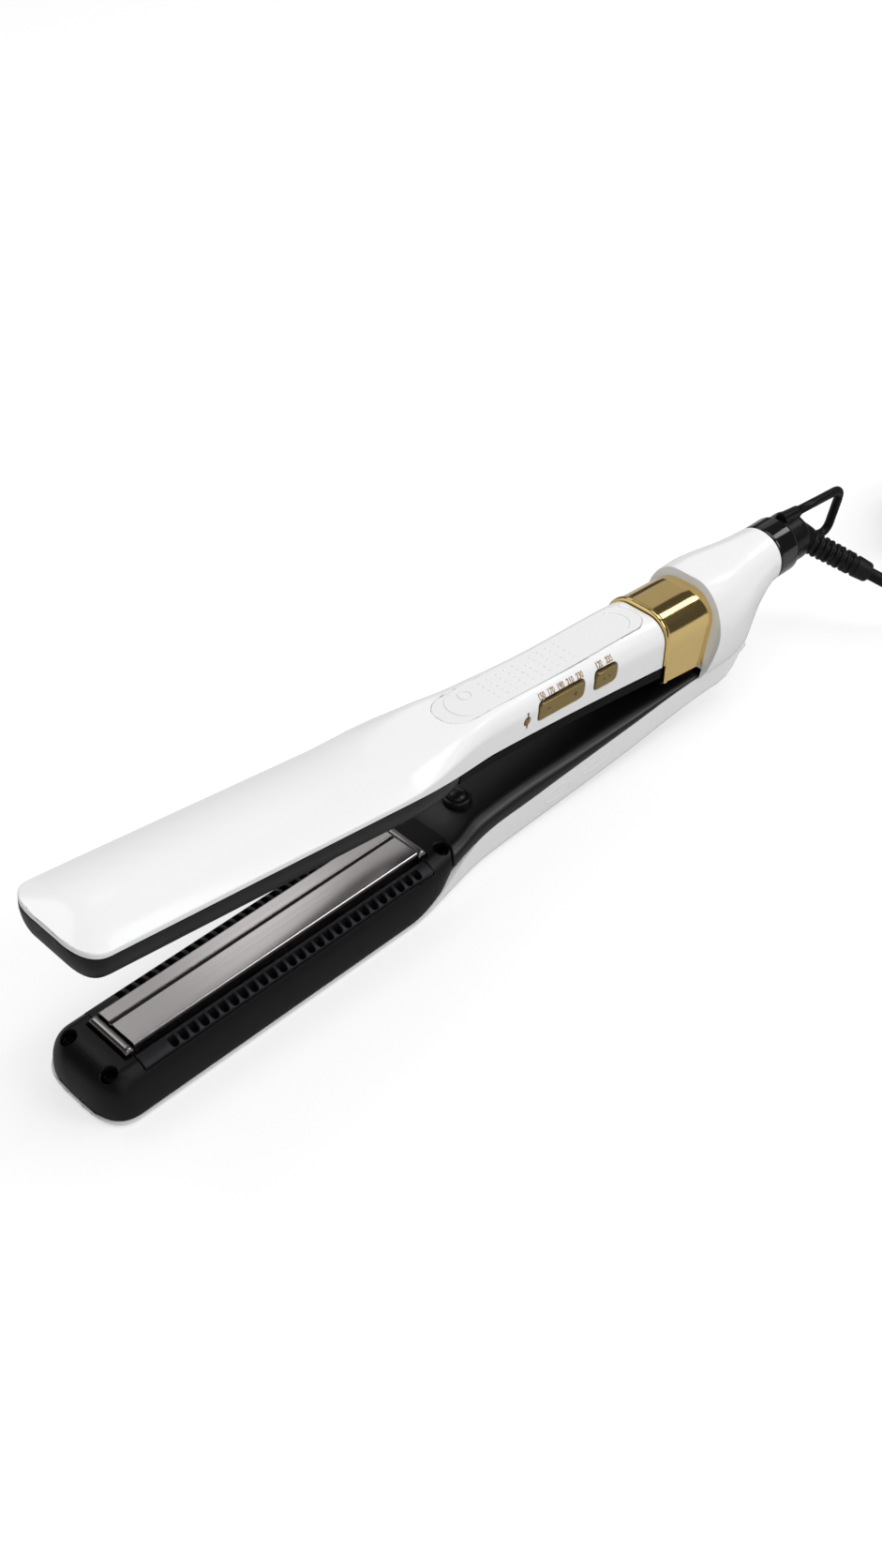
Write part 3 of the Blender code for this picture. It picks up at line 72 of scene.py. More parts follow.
def flowing(x, *stations):
    """A smooth curve through stations of (place, value), level beyond the first and the last."""
    if x <= stations[0][0]:
        return stations[0][1]
    if x >= stations[-1][0]:
        return stations[-1][1]
    slopes = [0.0]
    for before, here, after in zip(stations, stations[1:], stations[2:]):
        slopes.append((after[1] - before[1]) / (after[0] - before[0]))
    slopes.append(0.0)
    for index, (here, after) in enumerate(zip(stations, stations[1:])):
        if x <= after[0]:
            span = after[0] - here[0]
            t = (x - here[0]) / span
            rise = after[1] - here[1]
            start = slopes[index] * span
            end = slopes[index + 1] * span
            cubic = (start + end - 2 * rise) * t ** 3 + (3 * rise - 2 * start - end) * t ** 2
            return here[1] + start * t + cubic


seam = 0.3
sharp = (0.02, 0.02)
neck_front = 110.0
handle_front = 148.0
band_front = 226.0
hood_front = from_tip(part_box("tail_lower_shell")[0][0])
collar_front = from_tip(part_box("swivel_collar")[0][0]) - seam
tray_end = from_tip(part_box("lower_outer_shell")[1][0])
lower_tip_radius, tip_half = 10.0, 3.0


def arm_half(x):
    """Half width of both arms in plan, before their tips are rounded."""
    return flowing(x, (neck_front, 17.5), (handle_front, 12.0), (band_front, 12.2), (hood_front - 10, 12.8),
                   (hood_front, 13.8), (hood_front + 7, 14.6), (tray_end, 13.8))


def tip_round(x, tip, length, power=2.3):
    """Grows from 0 at a tip to 1 where its round ends, on a bowed curve."""
    left = max(0.0, 1 - (x - tip) / length)
    return max(0.0, 1 - left ** power) ** (1 / power)


def lower_half(x):
    return tip_half + (arm_half(x) - tip_half) * tip_round(x, 0.0, lower_tip_radius, 2.6)


def lower_floor(x):
    rise = 8.3 * max(0.0, (min(x, hood_front) - handle_front) / (hood_front - handle_front)) ** 2
    sweep = flowing(x, (hood_front, 0.0), (hood_front + 8, 2.4), (tray_end, 9.2))
    return rise + sweep + (1 - tip_round(x, 0.0, lower_tip_radius)) * 0.65


def lower_seam(x):
    """Height of the seam between the white lower shell and what sits on it."""
    return flowing(x, (neck_front - 2, 1.3), (handle_front - 4, 11.0), (handle_front + 20, 11.9),
                   (handle_front + 62, 14.6), (hood_front - 10, 17.2), (hood_front, 18.0), (tray_end, 19.4))


def quarter(centre_y, centre_z, wide, tall, start, steps):
    """A quarter of an ellipse from the start angle, in degrees, anticlockwise."""
    turns = [math.radians(start + 90.0 * step / steps) for step in range(steps + 1)]
    return [(centre_y + wide * math.cos(a), centre_z + tall * math.sin(a)) for a in turns]


def rounded(half, low, high, low_round, high_round, steps=9):
    """A cross section between two heights, with round corners below and above."""
    low_y, low_z = low_round
    high_y, high_z = high_round
    outline = quarter(half - low_y, low + low_z, low_y, low_z, -90, steps)
    outline += quarter(half - high_y, high - high_z, high_y, high_z, 0, steps)
    outline += quarter(-half + high_y, high - high_z, high_y, high_z, 90, steps)
    outline += quarter(-half + low_y, low + low_z, low_y, low_z, 180, steps)
    return outline


def ring(x, outline, lean=0.0, lean_from=0.0):
    """A cross section in place at x, leaned with height where the piece is cut on the slant."""
    return [at(x - lean * (z - lean_from), y, z) for y, z in outline]


def between(start, end, count):
    return [start + (end - start) * step / count for step in range(count + 1)]


def tip_places(tip, radius, count=15):
    """Places along a round tip, close together where it turns most."""
    return [tip + radius * (1 - math.cos(math.radians(a))) for a in between(0, 90, count)]


def new_piece(name, mesh_data):
    """A new object from mesh data, closed up at its joins and with its faces turned outward."""
    bmesh.ops.remove_doubles(mesh_data, verts=mesh_data.verts, dist=1e-7)
    bmesh.ops.recalc_face_normals(mesh_data, faces=mesh_data.faces)
    mesh = bpy.data.meshes.new(name)
    mesh_data.to_mesh(mesh)
    mesh_data.free()
    made = bpy.data.objects.new(name, mesh)
    bpy.context.scene.collection.objects.link(made)
    return made


def lofted(name, rings, closed=False):
    """A body through rings of as many points each; closed joins the last ring to the first."""
    made = bmesh.new()
    rows = [[made.verts.new(place) for place in row] for row in rings]
    count = len(rows[0])
    pairs = list(zip(rows, rows[1:]))
    if closed:
        pairs.append((rows[-1], rows[0]))
    else:
        made.faces.new(rows[0])
        made.faces.new(rows[-1])
    for near, far in pairs:
        for index in range(count):
            after = (index + 1) % count
            made.faces.new((near[index], near[after], far[after], far[index]))
    return new_piece(name, made)


def settle(piece):
    """Takes up the modifiers of a piece into its mesh."""
    graph = bpy.context.evaluated_depsgraph_get()
    old = piece.data
    piece.data = bpy.data.meshes.new_from_object(piece.evaluated_get(graph))
    piece.modifiers.clear()
    bpy.data.meshes.remove(old)


def combine(piece, operation, *tools):
    """Cuts a piece with tool bodies, or joins them to it, and uses the tools up."""
    for tool in tools:
        change = piece.modifiers.new(tool.name, 'BOOLEAN')
        change.operation = operation
        change.solver = 'EXACT'
        change.object = tool
    settle(piece)
    for tool in tools:
        bpy.data.objects.remove(tool, do_unlink=True)


def soften(piece, width=0.25, segments=2):
    """Breaks the sharp edges as a mould or a polish does, with clean shading beside them."""
    piece.data.shade_smooth()
    piece.data.set_sharp_from_angle(angle=math.radians(34))
    edge = piece.modifiers.new("broken_edges", 'BEVEL')
    edge.width = width * MM
    edge.segments = segments
    edge.limit_method = 'ANGLE'
    edge.angle_limit = math.radians(34)
    edge.use_clamp_overlap = False
    normals = piece.modifiers.new("even_shading", 'WEIGHTED_NORMAL')
    normals.keep_sharp = True


def fit(piece, finish, body, slot, *nodes):
    """Gives a piece its finish, hangs it on its body and lets it stand for its nodes."""
    piece.data.materials.clear()
    piece.data.materials.append(finish)
    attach(piece, body)
    if nodes:
        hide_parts(*nodes)


def new_group(name, inputs, outputs):
    """An empty shader node group with named sockets, and its input and output nodes."""
    group = bpy.data.node_groups.new(name, 'ShaderNodeTree')
    for label, kind, start in inputs:
        socket = group.interface.new_socket(label, in_out='INPUT', socket_type=kind)
        socket.default_value = start
    for label, kind in outputs:
        group.interface.new_socket(label, in_out='OUTPUT', socket_type=kind)
    return group, group.nodes.new("NodeGroupInput"), group.nodes.new("NodeGroupOutput")


FLOAT, COLOUR, VECTOR = 'NodeSocketFloat', 'NodeSocketColor', 'NodeSocketVector'


def noise(group, place, scale, detail):
    """Adds a noise texture to a group and gives its value."""
    made = group.nodes.new("ShaderNodeTexNoise")
    made.inputs["Detail"].default_value = detail
    group.links.new(place, made.inputs["Vector"])
    if isinstance(scale, float):
        made.inputs["Scale"].default_value = scale
    else:
        group.links.new(scale, made.inputs["Scale"])
    return made.outputs[0]


def reckon(group, operation, first, second):
    """Adds a sum of two values or sockets to a group and gives its result."""
    made = group.nodes.new("ShaderNodeMath")
    made.operation = operation
    for socket, value in zip(made.inputs, (first, second)):
        if isinstance(value, float):
            socket.default_value = value
        else:
            group.links.new(value, socket)
    return made.outputs[0]


moulded_skin, inside, outside = new_group(
    "moulded_skin",
    [("Colour", COLOUR, (0.8, 0.8, 0.8, 1)), ("Tone", FLOAT, 0.1), ("Roughness", FLOAT, 0.3),
     ("Spread", FLOAT, 0.1), ("Grain", FLOAT, 1500.0)],
    [("Colour", COLOUR), ("Roughness", FLOAT), ("Height", FLOAT)])
place = moulded_skin.nodes.new("ShaderNodeTexCoord").outputs["Object"]
cloud = noise(moulded_skin, place, 22.0, 3.0)
shade = reckon(moulded_skin, 'MULTIPLY', cloud, inside.outputs["Tone"])
darken = moulded_skin.nodes.new("ShaderNodeMix")
darken.data_type = 'RGBA'
darken.blend_type = 'MULTIPLY'
moulded_skin.links.new(shade, darken.inputs["Factor"])
moulded_skin.links.new(inside.outputs["Colour"], darken.inputs["A"])
darken.inputs["B"].default_value = (0.62, 0.61, 0.60, 1)
moulded_skin.links.new(darken.outputs["Result"], outside.inputs["Colour"])
smear = reckon(moulded_skin, 'SUBTRACT', noise(moulded_skin, place, 75.0, 4.0), 0.5)
smear = reckon(moulded_skin, 'MULTIPLY', smear, inside.outputs["Spread"])
rough = reckon(moulded_skin, 'ADD', smear, inside.outputs["Roughness"])
moulded_skin.links.new(rough, outside.inputs["Roughness"])
moulded_skin.links.new(noise(moulded_skin, place, inside.outputs["Grain"], 2.0), outside.inputs["Height"])


def moulding(name, colour, roughness, tone, spread, grain, depth, coat=0.0, sheen=0.5):
    """A moulded plastic or rubber finish: cloudy tone, smeared gloss and a fine tool grain."""
    made = bpy.data.materials.new(name)
    made.use_nodes = True
    nodes, links = made.node_tree.nodes, made.node_tree.links
    shader = nodes["Principled BSDF"]
    skin = nodes.new("ShaderNodeGroup")
    skin.node_tree = moulded_skin
    skin.inputs["Colour"].default_value = (*colour, 1)
    skin.inputs["Tone"].default_value = tone
    skin.inputs["Roughness"].default_value = roughness
    skin.inputs["Spread"].default_value = spread
    skin.inputs["Grain"].default_value = grain
    bump = nodes.new("ShaderNodeBump")
    bump.inputs["Strength"].default_value = depth
    bump.inputs["Distance"].default_value = 0.0002
    links.new(skin.outputs["Colour"], shader.inputs["Base Color"])
    links.new(skin.outputs["Roughness"], shader.inputs["Roughness"])
    links.new(skin.outputs["Height"], bump.inputs["Height"])
    links.new(bump.outputs["Normal"], shader.inputs["Normal"])
    shader.inputs["Specular IOR Level"].default_value = sheen
    shader.inputs["Coat Weight"].default_value = coat
    shader.inputs["Coat Roughness"].default_value = 0.06
    return made


white_gloss = moulding("white_gloss", (0.86, 0.86, 0.865), roughness=0.20, tone=0.06, spread=0.08,
                       grain=900.0, depth=0.03, coat=0.35)

shell_places = tip_places(0.0, lower_tip_radius) + between(16.0, neck_front, 6)
shell_places += between(neck_front, handle_front, 20)[1:] + between(handle_front, tray_end, 36)[1:]
rings = []
for x in shell_places:
    half, low, high = lower_half(x), lower_floor(x), lower_seam(x)
    rings.append(ring(x, rounded(half, low, high, (2.6, min(2.8, (high - low) * 0.7)), sharp)))
lower_shell = lofted("lower_shell", rings)
shell_wall, shell_floor, hollow_top = 2.0, 1.6, 29.3
rings = []
for x in between(neck_front, handle_front, 12) + between(handle_front, hood_front + 4, 14)[1:]:
    half, low = lower_half(x) - shell_wall, lower_floor(x) + shell_floor
    rings.append(ring(x, rounded(half, low, hollow_top, (1.5, 1.0), sharp, 4)))
combine(lower_shell, 'DIFFERENCE', lofted("lower_hollow", rings))
soften(lower_shell, 0.22)
fit(lower_shell, white_gloss, "lower_arm", "white_gloss", "lower_outer_shell")

# Two fine oval beads stand on the near wall of the handle.
oval_points, bead_half, bead_proud, bead_sink, oval_tilt = 48, 0.3, 0.13, 0.05, 0.06
ovals = (("front_oval", 179.0, 7.4, 5.6, 2.3), ("rear_oval", 197.5, 8.9, 7.0, 1.7))
for name, middle_x, middle_z, long_half, high_half in ovals:
    rows = []
    for index in range(oval_points):
        turn = 2 * math.pi * index / oval_points
        x = middle_x + long_half * math.cos(turn)
        z = middle_z + high_half * math.sin(turn) + oval_tilt * (x - middle_x)
        spot = at(x, -lower_half(x) + bead_sink, z)
        way = Vector((math.cos(turn), 0, math.sin(turn)))
        row = []
        for a in [math.pi * step / 4 for step in range(8)]:
            proud = Vector((0, -bead_proud * math.sin(a), 0))
            row.append(spot + (way * math.cos(a) * bead_half + proud) * MM)
        rows.append(row)
    oval = lofted(name, rows, True)
    oval.data.shade_smooth()
    fit(oval, white_gloss, "lower_arm", "white_gloss")


# Head housings. The black heat-proof mouldings that frame the hot plates, one on each arm and mirror
# images of each other, with a window for the plate, a trough for each vent comb and four sunk screws.
# The upper one belongs to the arm that stands open on its spring.
arm_hinge = next(joint for joint in frame["joints"] if joint["name"] == "arm_hinge")
hinge_place = Vector(arm_hinge["pos_m"])
open_turn = Matrix.Rotation(math.radians(-arm_hinge["range_deg"][0]), 4, 'Y')
opened = Matrix.Translation(hinge_place) @ open_turn @ Matrix.Translation(-hinge_place)
close_plane = 17.3
housing_face = 14.5
housing_end = 134.5
plate_start, plate_end = 16.0, 121.0
plate_half = 7.9
upper_tip, upper_tip_radius = -2.5, 8.0
comb_inner, comb_outer, comb_start, comb_length = 9.2, 13.6, 15.0, 107.0
nose_round, bow_depth, cut_top = 10.0, 4.0, 20.3
screw_places = [(6.4, -9.0), (6.4, 9.0), (129.7, -9.0), (129.7, 9.0)]
screw_seat = 10.9
mirrored = Matrix.Translation((0, 0, 2 * close_plane * MM)) @ Matrix.Scale(-1, 4, (0, 0, 1))


def to_upper(piece):
    """Turns a piece modelled on the closed lower arm over to its mirrored place on the open upper arm."""
    piece.data.transform(opened @ mirrored)
    piece.data.flip_normals()


def upper_half(x):
    return tip_half + (arm_half(x) - tip_half) * tip_round(x, upper_tip, upper_tip_radius, 2.8)


def upper_seam(x):
    """Height of the seam between the white upper shell and the black inner side, arms closed."""
    return flowing(x, (neck_front, 31.0), (handle_front - 6, 28.0), (band_front, 28.8))


def box_between(name, low, high):
    outline = [(low[1], low[2]), (high[1], low[2]), (high[1], high[2]), (low[1], high[2])]
    return lofted(name, [ring(low[0], outline), ring(high[0], outline)])


def turned(name, profile, origin, axis, sides=32):
    """A body turned about an axis from (along, radius) pairs in millimetres."""
    axis = Vector(axis).normalized()
    side = axis.orthogonal().normalized()
    other = axis.cross(side)
    rings = []
    for reach, radius in profile:
        turns = [2 * math.pi * index / sides for index in range(sides)]
        rings.append([origin + (axis * reach + (side * math.cos(a) + other * math.sin(a)) * radius) * MM
                      for a in turns])
    return lofted(name, rings)


def bowed(x, outline, share):
    """A cross section whose sides are drawn forward, where the housing ends in a bow against the cover."""
    widest = max(y for y, z in outline)
    return [at(x - bow_depth * share * (y / widest) ** 2, y, z) for y, z in outline]


def head_housing(name, tip, half_at, seam_at):
    """One housing on the lower side, for an arm with the given tip, half width and seam."""
    places = tip_places(tip, nose_round) + between(16.0, neck_front, 8)
    places += between(neck_front, housing_end, 12)[1:]
    rings = []
    for x in places:
        low = seam + seam_at(x)
        high = low + 0.3 + (housing_face - low - 0.3) * tip_round(x, tip, nose_round, 2.5)
        half = half_at(x)
        shoulder = min(7.0, half * 0.5), (high - low) * 0.95
        share = max(0.0, 1 - (housing_end - x) / 11.0)
        rings.append(bowed(x, rounded(half, low, high, sharp, shoulder, 12), share))
    housing = lofted(name, rings)
    window, flange, roof = plate_half + 0.9, plate_half + 1.6, housing_face - 3.0
    bay = [(-flange, 0.0), (flange, 0.0), (flange, roof), (window, roof), (window, cut_top),
           (-window, cut_top), (-window, roof), (-flange, roof)]
    tools = [lofted("bay", [ring(x, bay) for x in (plate_start - 3.7, plate_end + 3.7)])]
    for side in (-1, 1):
        low = (comb_start - seam, side * (plate_half + 0.6), housing_face - 4.9)
        high = (comb_start + comb_length + seam, side * (comb_outer + seam), cut_top)
        tools.append(box_between("trough", low, high))
    for x, y in screw_places:
        bore = [(-1.9, 1.4), (0.0, 1.4), (0.0, 2.3), (2.6, 2.3), (9.0, 2.5)]
        tools.append(turned("screw_bore", bore, at(x, y, screw_seat), (0, 0, 1), 28))
    combine(housing, 'DIFFERENCE', *tools)
    return housing


black_moulding = moulding("black_moulding", (0.003, 0.003, 0.0035), roughness=0.40, tone=0.2, spread=0.14,
                          grain=2600.0, depth=0.12, sheen=0.28)

lower_housing = head_housing("lower_housing", 0.5, lambda x: lower_half(x - 0.5) - 0.5, lower_seam)
soften(lower_housing, 0.3)
fit(lower_housing, black_moulding, "lower_arm", "black_moulding", "lower_head_housing")

upper_housing = head_housing("upper_housing", upper_tip, upper_half,
                             lambda x: 2 * close_plane - upper_seam(x))
to_upper(upper_housing)
soften(upper_housing, 0.3)
fit(upper_housing, black_moulding, "upper_arm", "black_moulding", "upper_head_housing")


# Vent combs. A dull black strip beside each long edge of both plates: a plain ledge next to the plate and
# a row of round-ended slots along its outer side that let damp air out. Each is moulded by itself and
# snaps into its trough in the housing.
black_comb = moulding("black_comb", (0.014, 0.015, 0.018), roughness=0.42, tone=0.2, spread=0.12,
                      grain=3200.0, depth=0.2, sheen=0.3)
slot_count, slot_pitch, slot_length, slot_round = 27, 3.5, 2.4, 0.9
first_slot, slot_inner, slot_outer = 24.6, comb_inner + 0.9, comb_outer - 0.2


def slot_row(sign):
    """Round-ended cutters for the slots of one strip, in one mesh."""
    made = bmesh.new()
    for index in range(slot_count):
        start = first_slot + slot_pitch * index
        end = start + slot_length
        centre = slot_outer - slot_round
        plan = [(start, slot_inner), (end, slot_inner)]
        plan += quarter(end - slot_round, centre, slot_round, slot_round, 0, 4)
        plan += quarter(start + slot_round, centre, slot_round, slot_round, 90, 4)
        low = [made.verts.new(at(x, sign * y, housing_face - 4.0)) for x, y in plan]
        high = [made.verts.new(at(x, sign * y, housing_face + 5.0)) for x, y in plan]
        made.faces.new(low)
        made.faces.new(high)
        for here in range(len(plan)):
            after = (here + 1) % len(plan)
            made.faces.new((low[here], low[after], high[after], high[here]))
    return new_piece("slot_row", made)


for side in ("lower", "upper"):
    for name, sign in (("near", -1), ("far", 1)):
        top = housing_face - 0.2
        foot = top - 4.4
        outline = [(comb_inner, foot), (comb_outer, foot), (comb_outer, top - 1.3),
                   (comb_inner + 2.2, top - 0.15), (comb_inner, top)]
        outline = [(sign * y, z) for y, z in outline]
        ends = comb_start, comb_start + comb_length
        strip = lofted(f"{side}_strip_{name}", [ring(x, outline) for x in ends])
        combine(strip, 'DIFFERENCE', slot_row(sign))
        if side == "upper":
            to_upper(strip)
        soften(strip, 0.15)
        fit(strip, black_comb, side + "_arm", "black_comb", f"{side}_comb_{name}")


# Hot plates. Extruded aluminium bars with polished, coated faces, rounded long edges and a fine groove off
# the middle, held at each end by a pressed clip. A black strip laid in the groove is painted shade, standing
# in for the shadow in it. Each plate floats in its window.
plate_face = 17.15
plate_round = 0.5
groove_middle, groove_half, groove_depth = 2.5, 0.55, 0.8

drawn_lines, inside, outside = new_group(
    "drawn_lines",
    [("Colour", COLOUR, (0.6, 0.6, 0.6, 1)), ("Tint", COLOUR, (0.5, 0.5, 0.5, 1)),
     ("Roughness", FLOAT, 0.2), ("Spread", FLOAT, 0.1), ("Stretch", VECTOR, (6.0, 900.0, 900.0))],
    [("Colour", COLOUR), ("Roughness", FLOAT), ("Height", FLOAT)])
place = drawn_lines.nodes.new("ShaderNodeTexCoord").outputs["Object"]
pulled = drawn_lines.nodes.new("ShaderNodeVectorMath")
pulled.operation = 'MULTIPLY'
drawn_lines.links.new(place, pulled.inputs[0])
drawn_lines.links.new(inside.outputs["Stretch"], pulled.inputs[1])
lines = noise(drawn_lines, pulled.outputs[0], 1.0, 5.0)
cloud = noise(drawn_lines, place, 28.0, 2.0)
blend = drawn_lines.nodes.new("ShaderNodeMix")
blend.data_type = 'RGBA'
drawn_lines.links.new(reckon(drawn_lines, 'MULTIPLY', lines, cloud), blend.inputs["Factor"])
drawn_lines.links.new(inside.outputs["Colour"], blend.inputs["A"])
drawn_lines.links.new(inside.outputs["Tint"], blend.inputs["B"])
drawn_lines.links.new(blend.outputs["Result"], outside.inputs["Colour"])
rough = reckon(drawn_lines, 'SUBTRACT', lines, 0.5)
rough = reckon(drawn_lines, 'MULTIPLY', rough, inside.outputs["Spread"])
rough = reckon(drawn_lines, 'ADD', rough, inside.outputs["Roughness"])
drawn_lines.links.new(rough, outside.inputs["Roughness"])
drawn_lines.links.new(lines, outside.inputs["Height"])


def metal(name, colour, tint, roughness, spread, stretch, depth):
    """A metal finish with fine lines drawn along one direction."""
    made = bpy.data.materials.new(name)
    made.use_nodes = True
    nodes, links = made.node_tree.nodes, made.node_tree.links
    shader = nodes["Principled BSDF"]
    drawn = nodes.new("ShaderNodeGroup")
    drawn.node_tree = drawn_lines
    drawn.inputs["Colour"].default_value = (*colour, 1)
    drawn.inputs["Tint"].default_value = (*tint, 1)
    drawn.inputs["Roughness"].default_value = roughness
    drawn.inputs["Spread"].default_value = spread
    drawn.inputs["Stretch"].default_value = stretch
    bump = nodes.new("ShaderNodeBump")
    bump.inputs["Strength"].default_value = depth
    bump.inputs["Distance"].default_value = 0.0001
    links.new(drawn.outputs["Colour"], shader.inputs["Base Color"])
    links.new(drawn.outputs["Roughness"], shader.inputs["Roughness"])
    links.new(drawn.outputs["Height"], bump.inputs["Height"])
    links.new(bump.outputs["Normal"], shader.inputs["Normal"])
    shader.inputs["Metallic"].default_value = 1.0
    return made


plate_metal = metal("plate_metal", (0.68, 0.645, 0.64), (0.56, 0.52, 0.52), roughness=0.19, spread=0.06,
                    stretch=(5.0, 1400.0, 1400.0), depth=0.03)
clip_metal = metal("clip_metal", (0.34, 0.32, 0.32), (0.27, 0.255, 0.255), roughness=0.26, spread=0.08,
                   stretch=(900.0, 5.0, 900.0), depth=0.04)


def plate_outline():
    """Cross section of a plate: a flange that holds it in, round edges and the groove."""
    flange, flange_top = plate_half + 1.1, housing_face - 3.3
    flange_low, shoulder = flange_top - 1.2, plate_face - plate_round
    outline = [(-flange, flange_low), (flange, flange_low), (flange, flange_top), (plate_half, flange_top)]
    outline += quarter(plate_half - plate_round, shoulder, plate_round, plate_round, 0, 5)
    right, left = groove_middle + groove_half, groove_middle - groove_half
    lip, bed = plate_face - 0.15, plate_face - groove_depth
    outline += [(right + 0.15, plate_face), (right, lip), (right, bed + 0.2), (right - 0.2, bed)]
    outline += [(left + 0.2, bed), (left, bed + 0.2), (left, lip), (left - 0.15, plate_face)]
    outline += quarter(-plate_half + plate_round, shoulder, plate_round, plate_round, 90, 5)
    return outline + [(-plate_half, flange_top), (-flange, flange_top)]


bar_length, bar_foot = 3.0, housing_face - 4.5
bar_drops = [(0.0, 1.7), (0.15, 1.1), (0.5, 0.6), (1.0, 0.4), (1.5, 0.35), (2.0, 0.4), (2.5, 0.6),
             (2.85, 1.1), (bar_length, 1.7)]
for side in ("lower", "upper"):
    plate = lofted(side + "_hot_plate", [ring(x, plate_outline()) for x in (plate_start, plate_end)])
    bars = {}
    for end, x in (("front", plate_start - seam - bar_length), ("rear", plate_end + seam)):
        rings = []
        for reach, drop in bar_drops:
            outline = rounded(plate_half + 0.5, bar_foot, plate_face - drop, (0.1, 0.1), (1.3, 1.3), 5)
            rings.append(ring(x + reach, outline))
        bars[end] = lofted(f"{side}_end_bar_{end}", rings)
    # The groove's black strip is painted shade: a dark sheet where the groove would be in shadow.
    low = (plate_start + 0.3, groove_middle - groove_half + 0.02, plate_face - 0.7)
    high = (plate_end - 0.3, groove_middle + groove_half - 0.02, plate_face - 0.18)
    groove_shade = box_between(side + "_groove_shade_strip", low, high)
    if side == "upper":
        for piece in (plate, groove_shade, *bars.values()):
            to_upper(piece)
    for piece in (plate, *bars.values()):
        soften(piece, 0.12)
    fit(groove_shade, black_moulding, side + "_plate", "black_moulding")
    fit(plate, plate_metal, side + "_plate", "plate_metal", side + "_plate")
    for end, bar in bars.items():
        fit(bar, clip_metal, side + "_plate", "plate_metal", f"{side}_plate_clip_{end}")


# Head screws. Small steel screws with cross-slotted pan heads, sunk in bores at the corners of each
# housing; they pull the housing down on its white shell. Their heads are coloured near black as painted
# shade, for the shade deep in the bores. Bare steel is for the hinge and the plug.
# Painted shade: near-black heads, so that the bores read as dark as their shadow.
screw_painted_shade = metal("screw_painted_shade", (0.008, 0.008, 0.009), (0.005, 0.005, 0.006), roughness=0.5,
                    spread=0.12, stretch=(700.0, 700.0, 700.0), depth=0.05)
steel = metal("steel", (0.52, 0.52, 0.53), (0.40, 0.40, 0.41), roughness=0.30, spread=0.12,
              stretch=(700.0, 700.0, 700.0), depth=0.05)
screw_profile = [(-1.6, 1.1), (0.3, 1.1), (0.3, 2.0), (1.1, 2.0), (1.5, 1.85), (1.8, 1.5), (1.9, 1.0)]
for side in ("lower", "upper"):
    for number, (x, y) in enumerate(screw_places, start=1):
        screw = turned(f"{side}_screw_{number}", screw_profile, at(x, y, screw_seat), (0, 0, 1), 24)
        low, high = screw_seat + 1.1, screw_seat + 3.0
        tools = [box_between("slot", (x - 1.2, y - 0.25, low), (x + 1.2, y + 0.25, high)),
                 box_between("slot", (x - 0.25, y - 1.2, low), (x + 0.25, y + 1.2, high))]
        combine(screw, 'DIFFERENCE', *tools)
        if side == "upper":
            to_upper(screw)
        soften(screw, 0.06)
        fit(screw, screw_painted_shade, side + "_arm", "steel", f"{side}_head_screw_{number}")


# Lower inner cover and bumper. The crowned cover, moulded in polished black plastic, snaps into the tray
# and closes the lower handle behind the head. The upper arm comes to rest on a rubber dome pressed into a
# raised ring.
def lower_crown(x):
    return flowing(x, (housing_end, 14.0), (handle_front - 3, 16.8), (handle_front + 40, 17.6),
                   (hood_front - 10, 19.0), (hood_front, 19.5))


cover_end = 249.6
rings = []
for x in between(housing_end + seam, handle_front, 10) + between(handle_front, cover_end, 28)[1:]:
    low, high = lower_seam(x) + seam, lower_crown(x)
    share = max(0.0, 1 - (x - housing_end - seam) / 10.0)
    shoulder = 5.0, (high - low) * 0.85
    rings.append(bowed(x, rounded(lower_half(x), low, high, sharp, shoulder, 12), share))
lower_cover = lofted("lower_cover", rings)
combine(lower_cover, 'DIFFERENCE', box_between("hinge_notch", (238.5, -9.2, 8.0), (254.0, 9.2, 24.0)))
soften(lower_cover, 0.3)
black_polish = moulding("black_polish", (0.004, 0.004, 0.0045), roughness=0.36, tone=0.25, spread=0.10,
                        grain=2600.0, depth=0.08)
fit(lower_cover, black_polish, "lower_arm", "black_moulding", "lower_inner_cover")

bumper_x, bumper_y, bumper_sink, bumper_peak = 146.4, 1.0, 0.9, 20.3
bumper_bore, dome_radius, dome_round = 3.4, 3.2, 2.0
bumper_seat = lower_crown(bumper_x) - bumper_sink
bumper_place = at(bumper_x, bumper_y, bumper_seat)
ring_profile = [(0.3, 4.5), (2.2, 4.5), (2.6, 4.35), (2.8, 3.95), (2.8, bumper_bore)]
bumper_ring = turned("bumper_ring", ring_profile, bumper_place, (0, 0, 1), 48)
bore = turned("bumper_bore", [(-2, bumper_bore), (12, bumper_bore)], bumper_place, (0, 0, 1), 48)
combine(bumper_ring, 'DIFFERENCE', bore)
soften(bumper_ring, 0.2)
fit(bumper_ring, black_polish, "lower_arm", "black_moulding", "bumper_collar")

dome_foot = bumper_peak - bumper_seat - dome_round
dome = [(0.3, dome_radius), (dome_foot, dome_radius)]
for turn in [math.radians(angle) for angle in between(0, 84, 7)]:
    dome.append((dome_foot + dome_round * math.sin(turn), dome_radius * math.cos(turn)))
bumper = turned("bumper_dome", dome, bumper_place, (0, 0, 1), 40)
soften(bumper, 0.05)
fit(bumper, black_polish, "lower_arm", "black_rubber", "bumper")


# Upper shell. The white top of the upper arm in one glossy moulding, low and broad over the head, drawn
# in at the neck and full at the handle, with windows for the keys and a pocket for the grip panel.
def upper_crown(x):
    return flowing(x, (neck_front - 8, 35.6), (handle_front - 8, 39.8), (handle_front + 30, 42.0),
                   (band_front, 45.2))


def upper_edge(x):
    """Width and height of the round along the top edges of the upper shell."""
    wide = flowing(x, (neck_front - 10, 3.4), (handle_front, 5.6), (band_front, 8.0))
    tall = flowing(x, (neck_front - 10, 2.8), (handle_front, 5.6), (band_front, 8.0))
    return min(wide, upper_half(x) * 0.7), min(tall, upper_crown(x) - upper_seam(x) - 0.3)


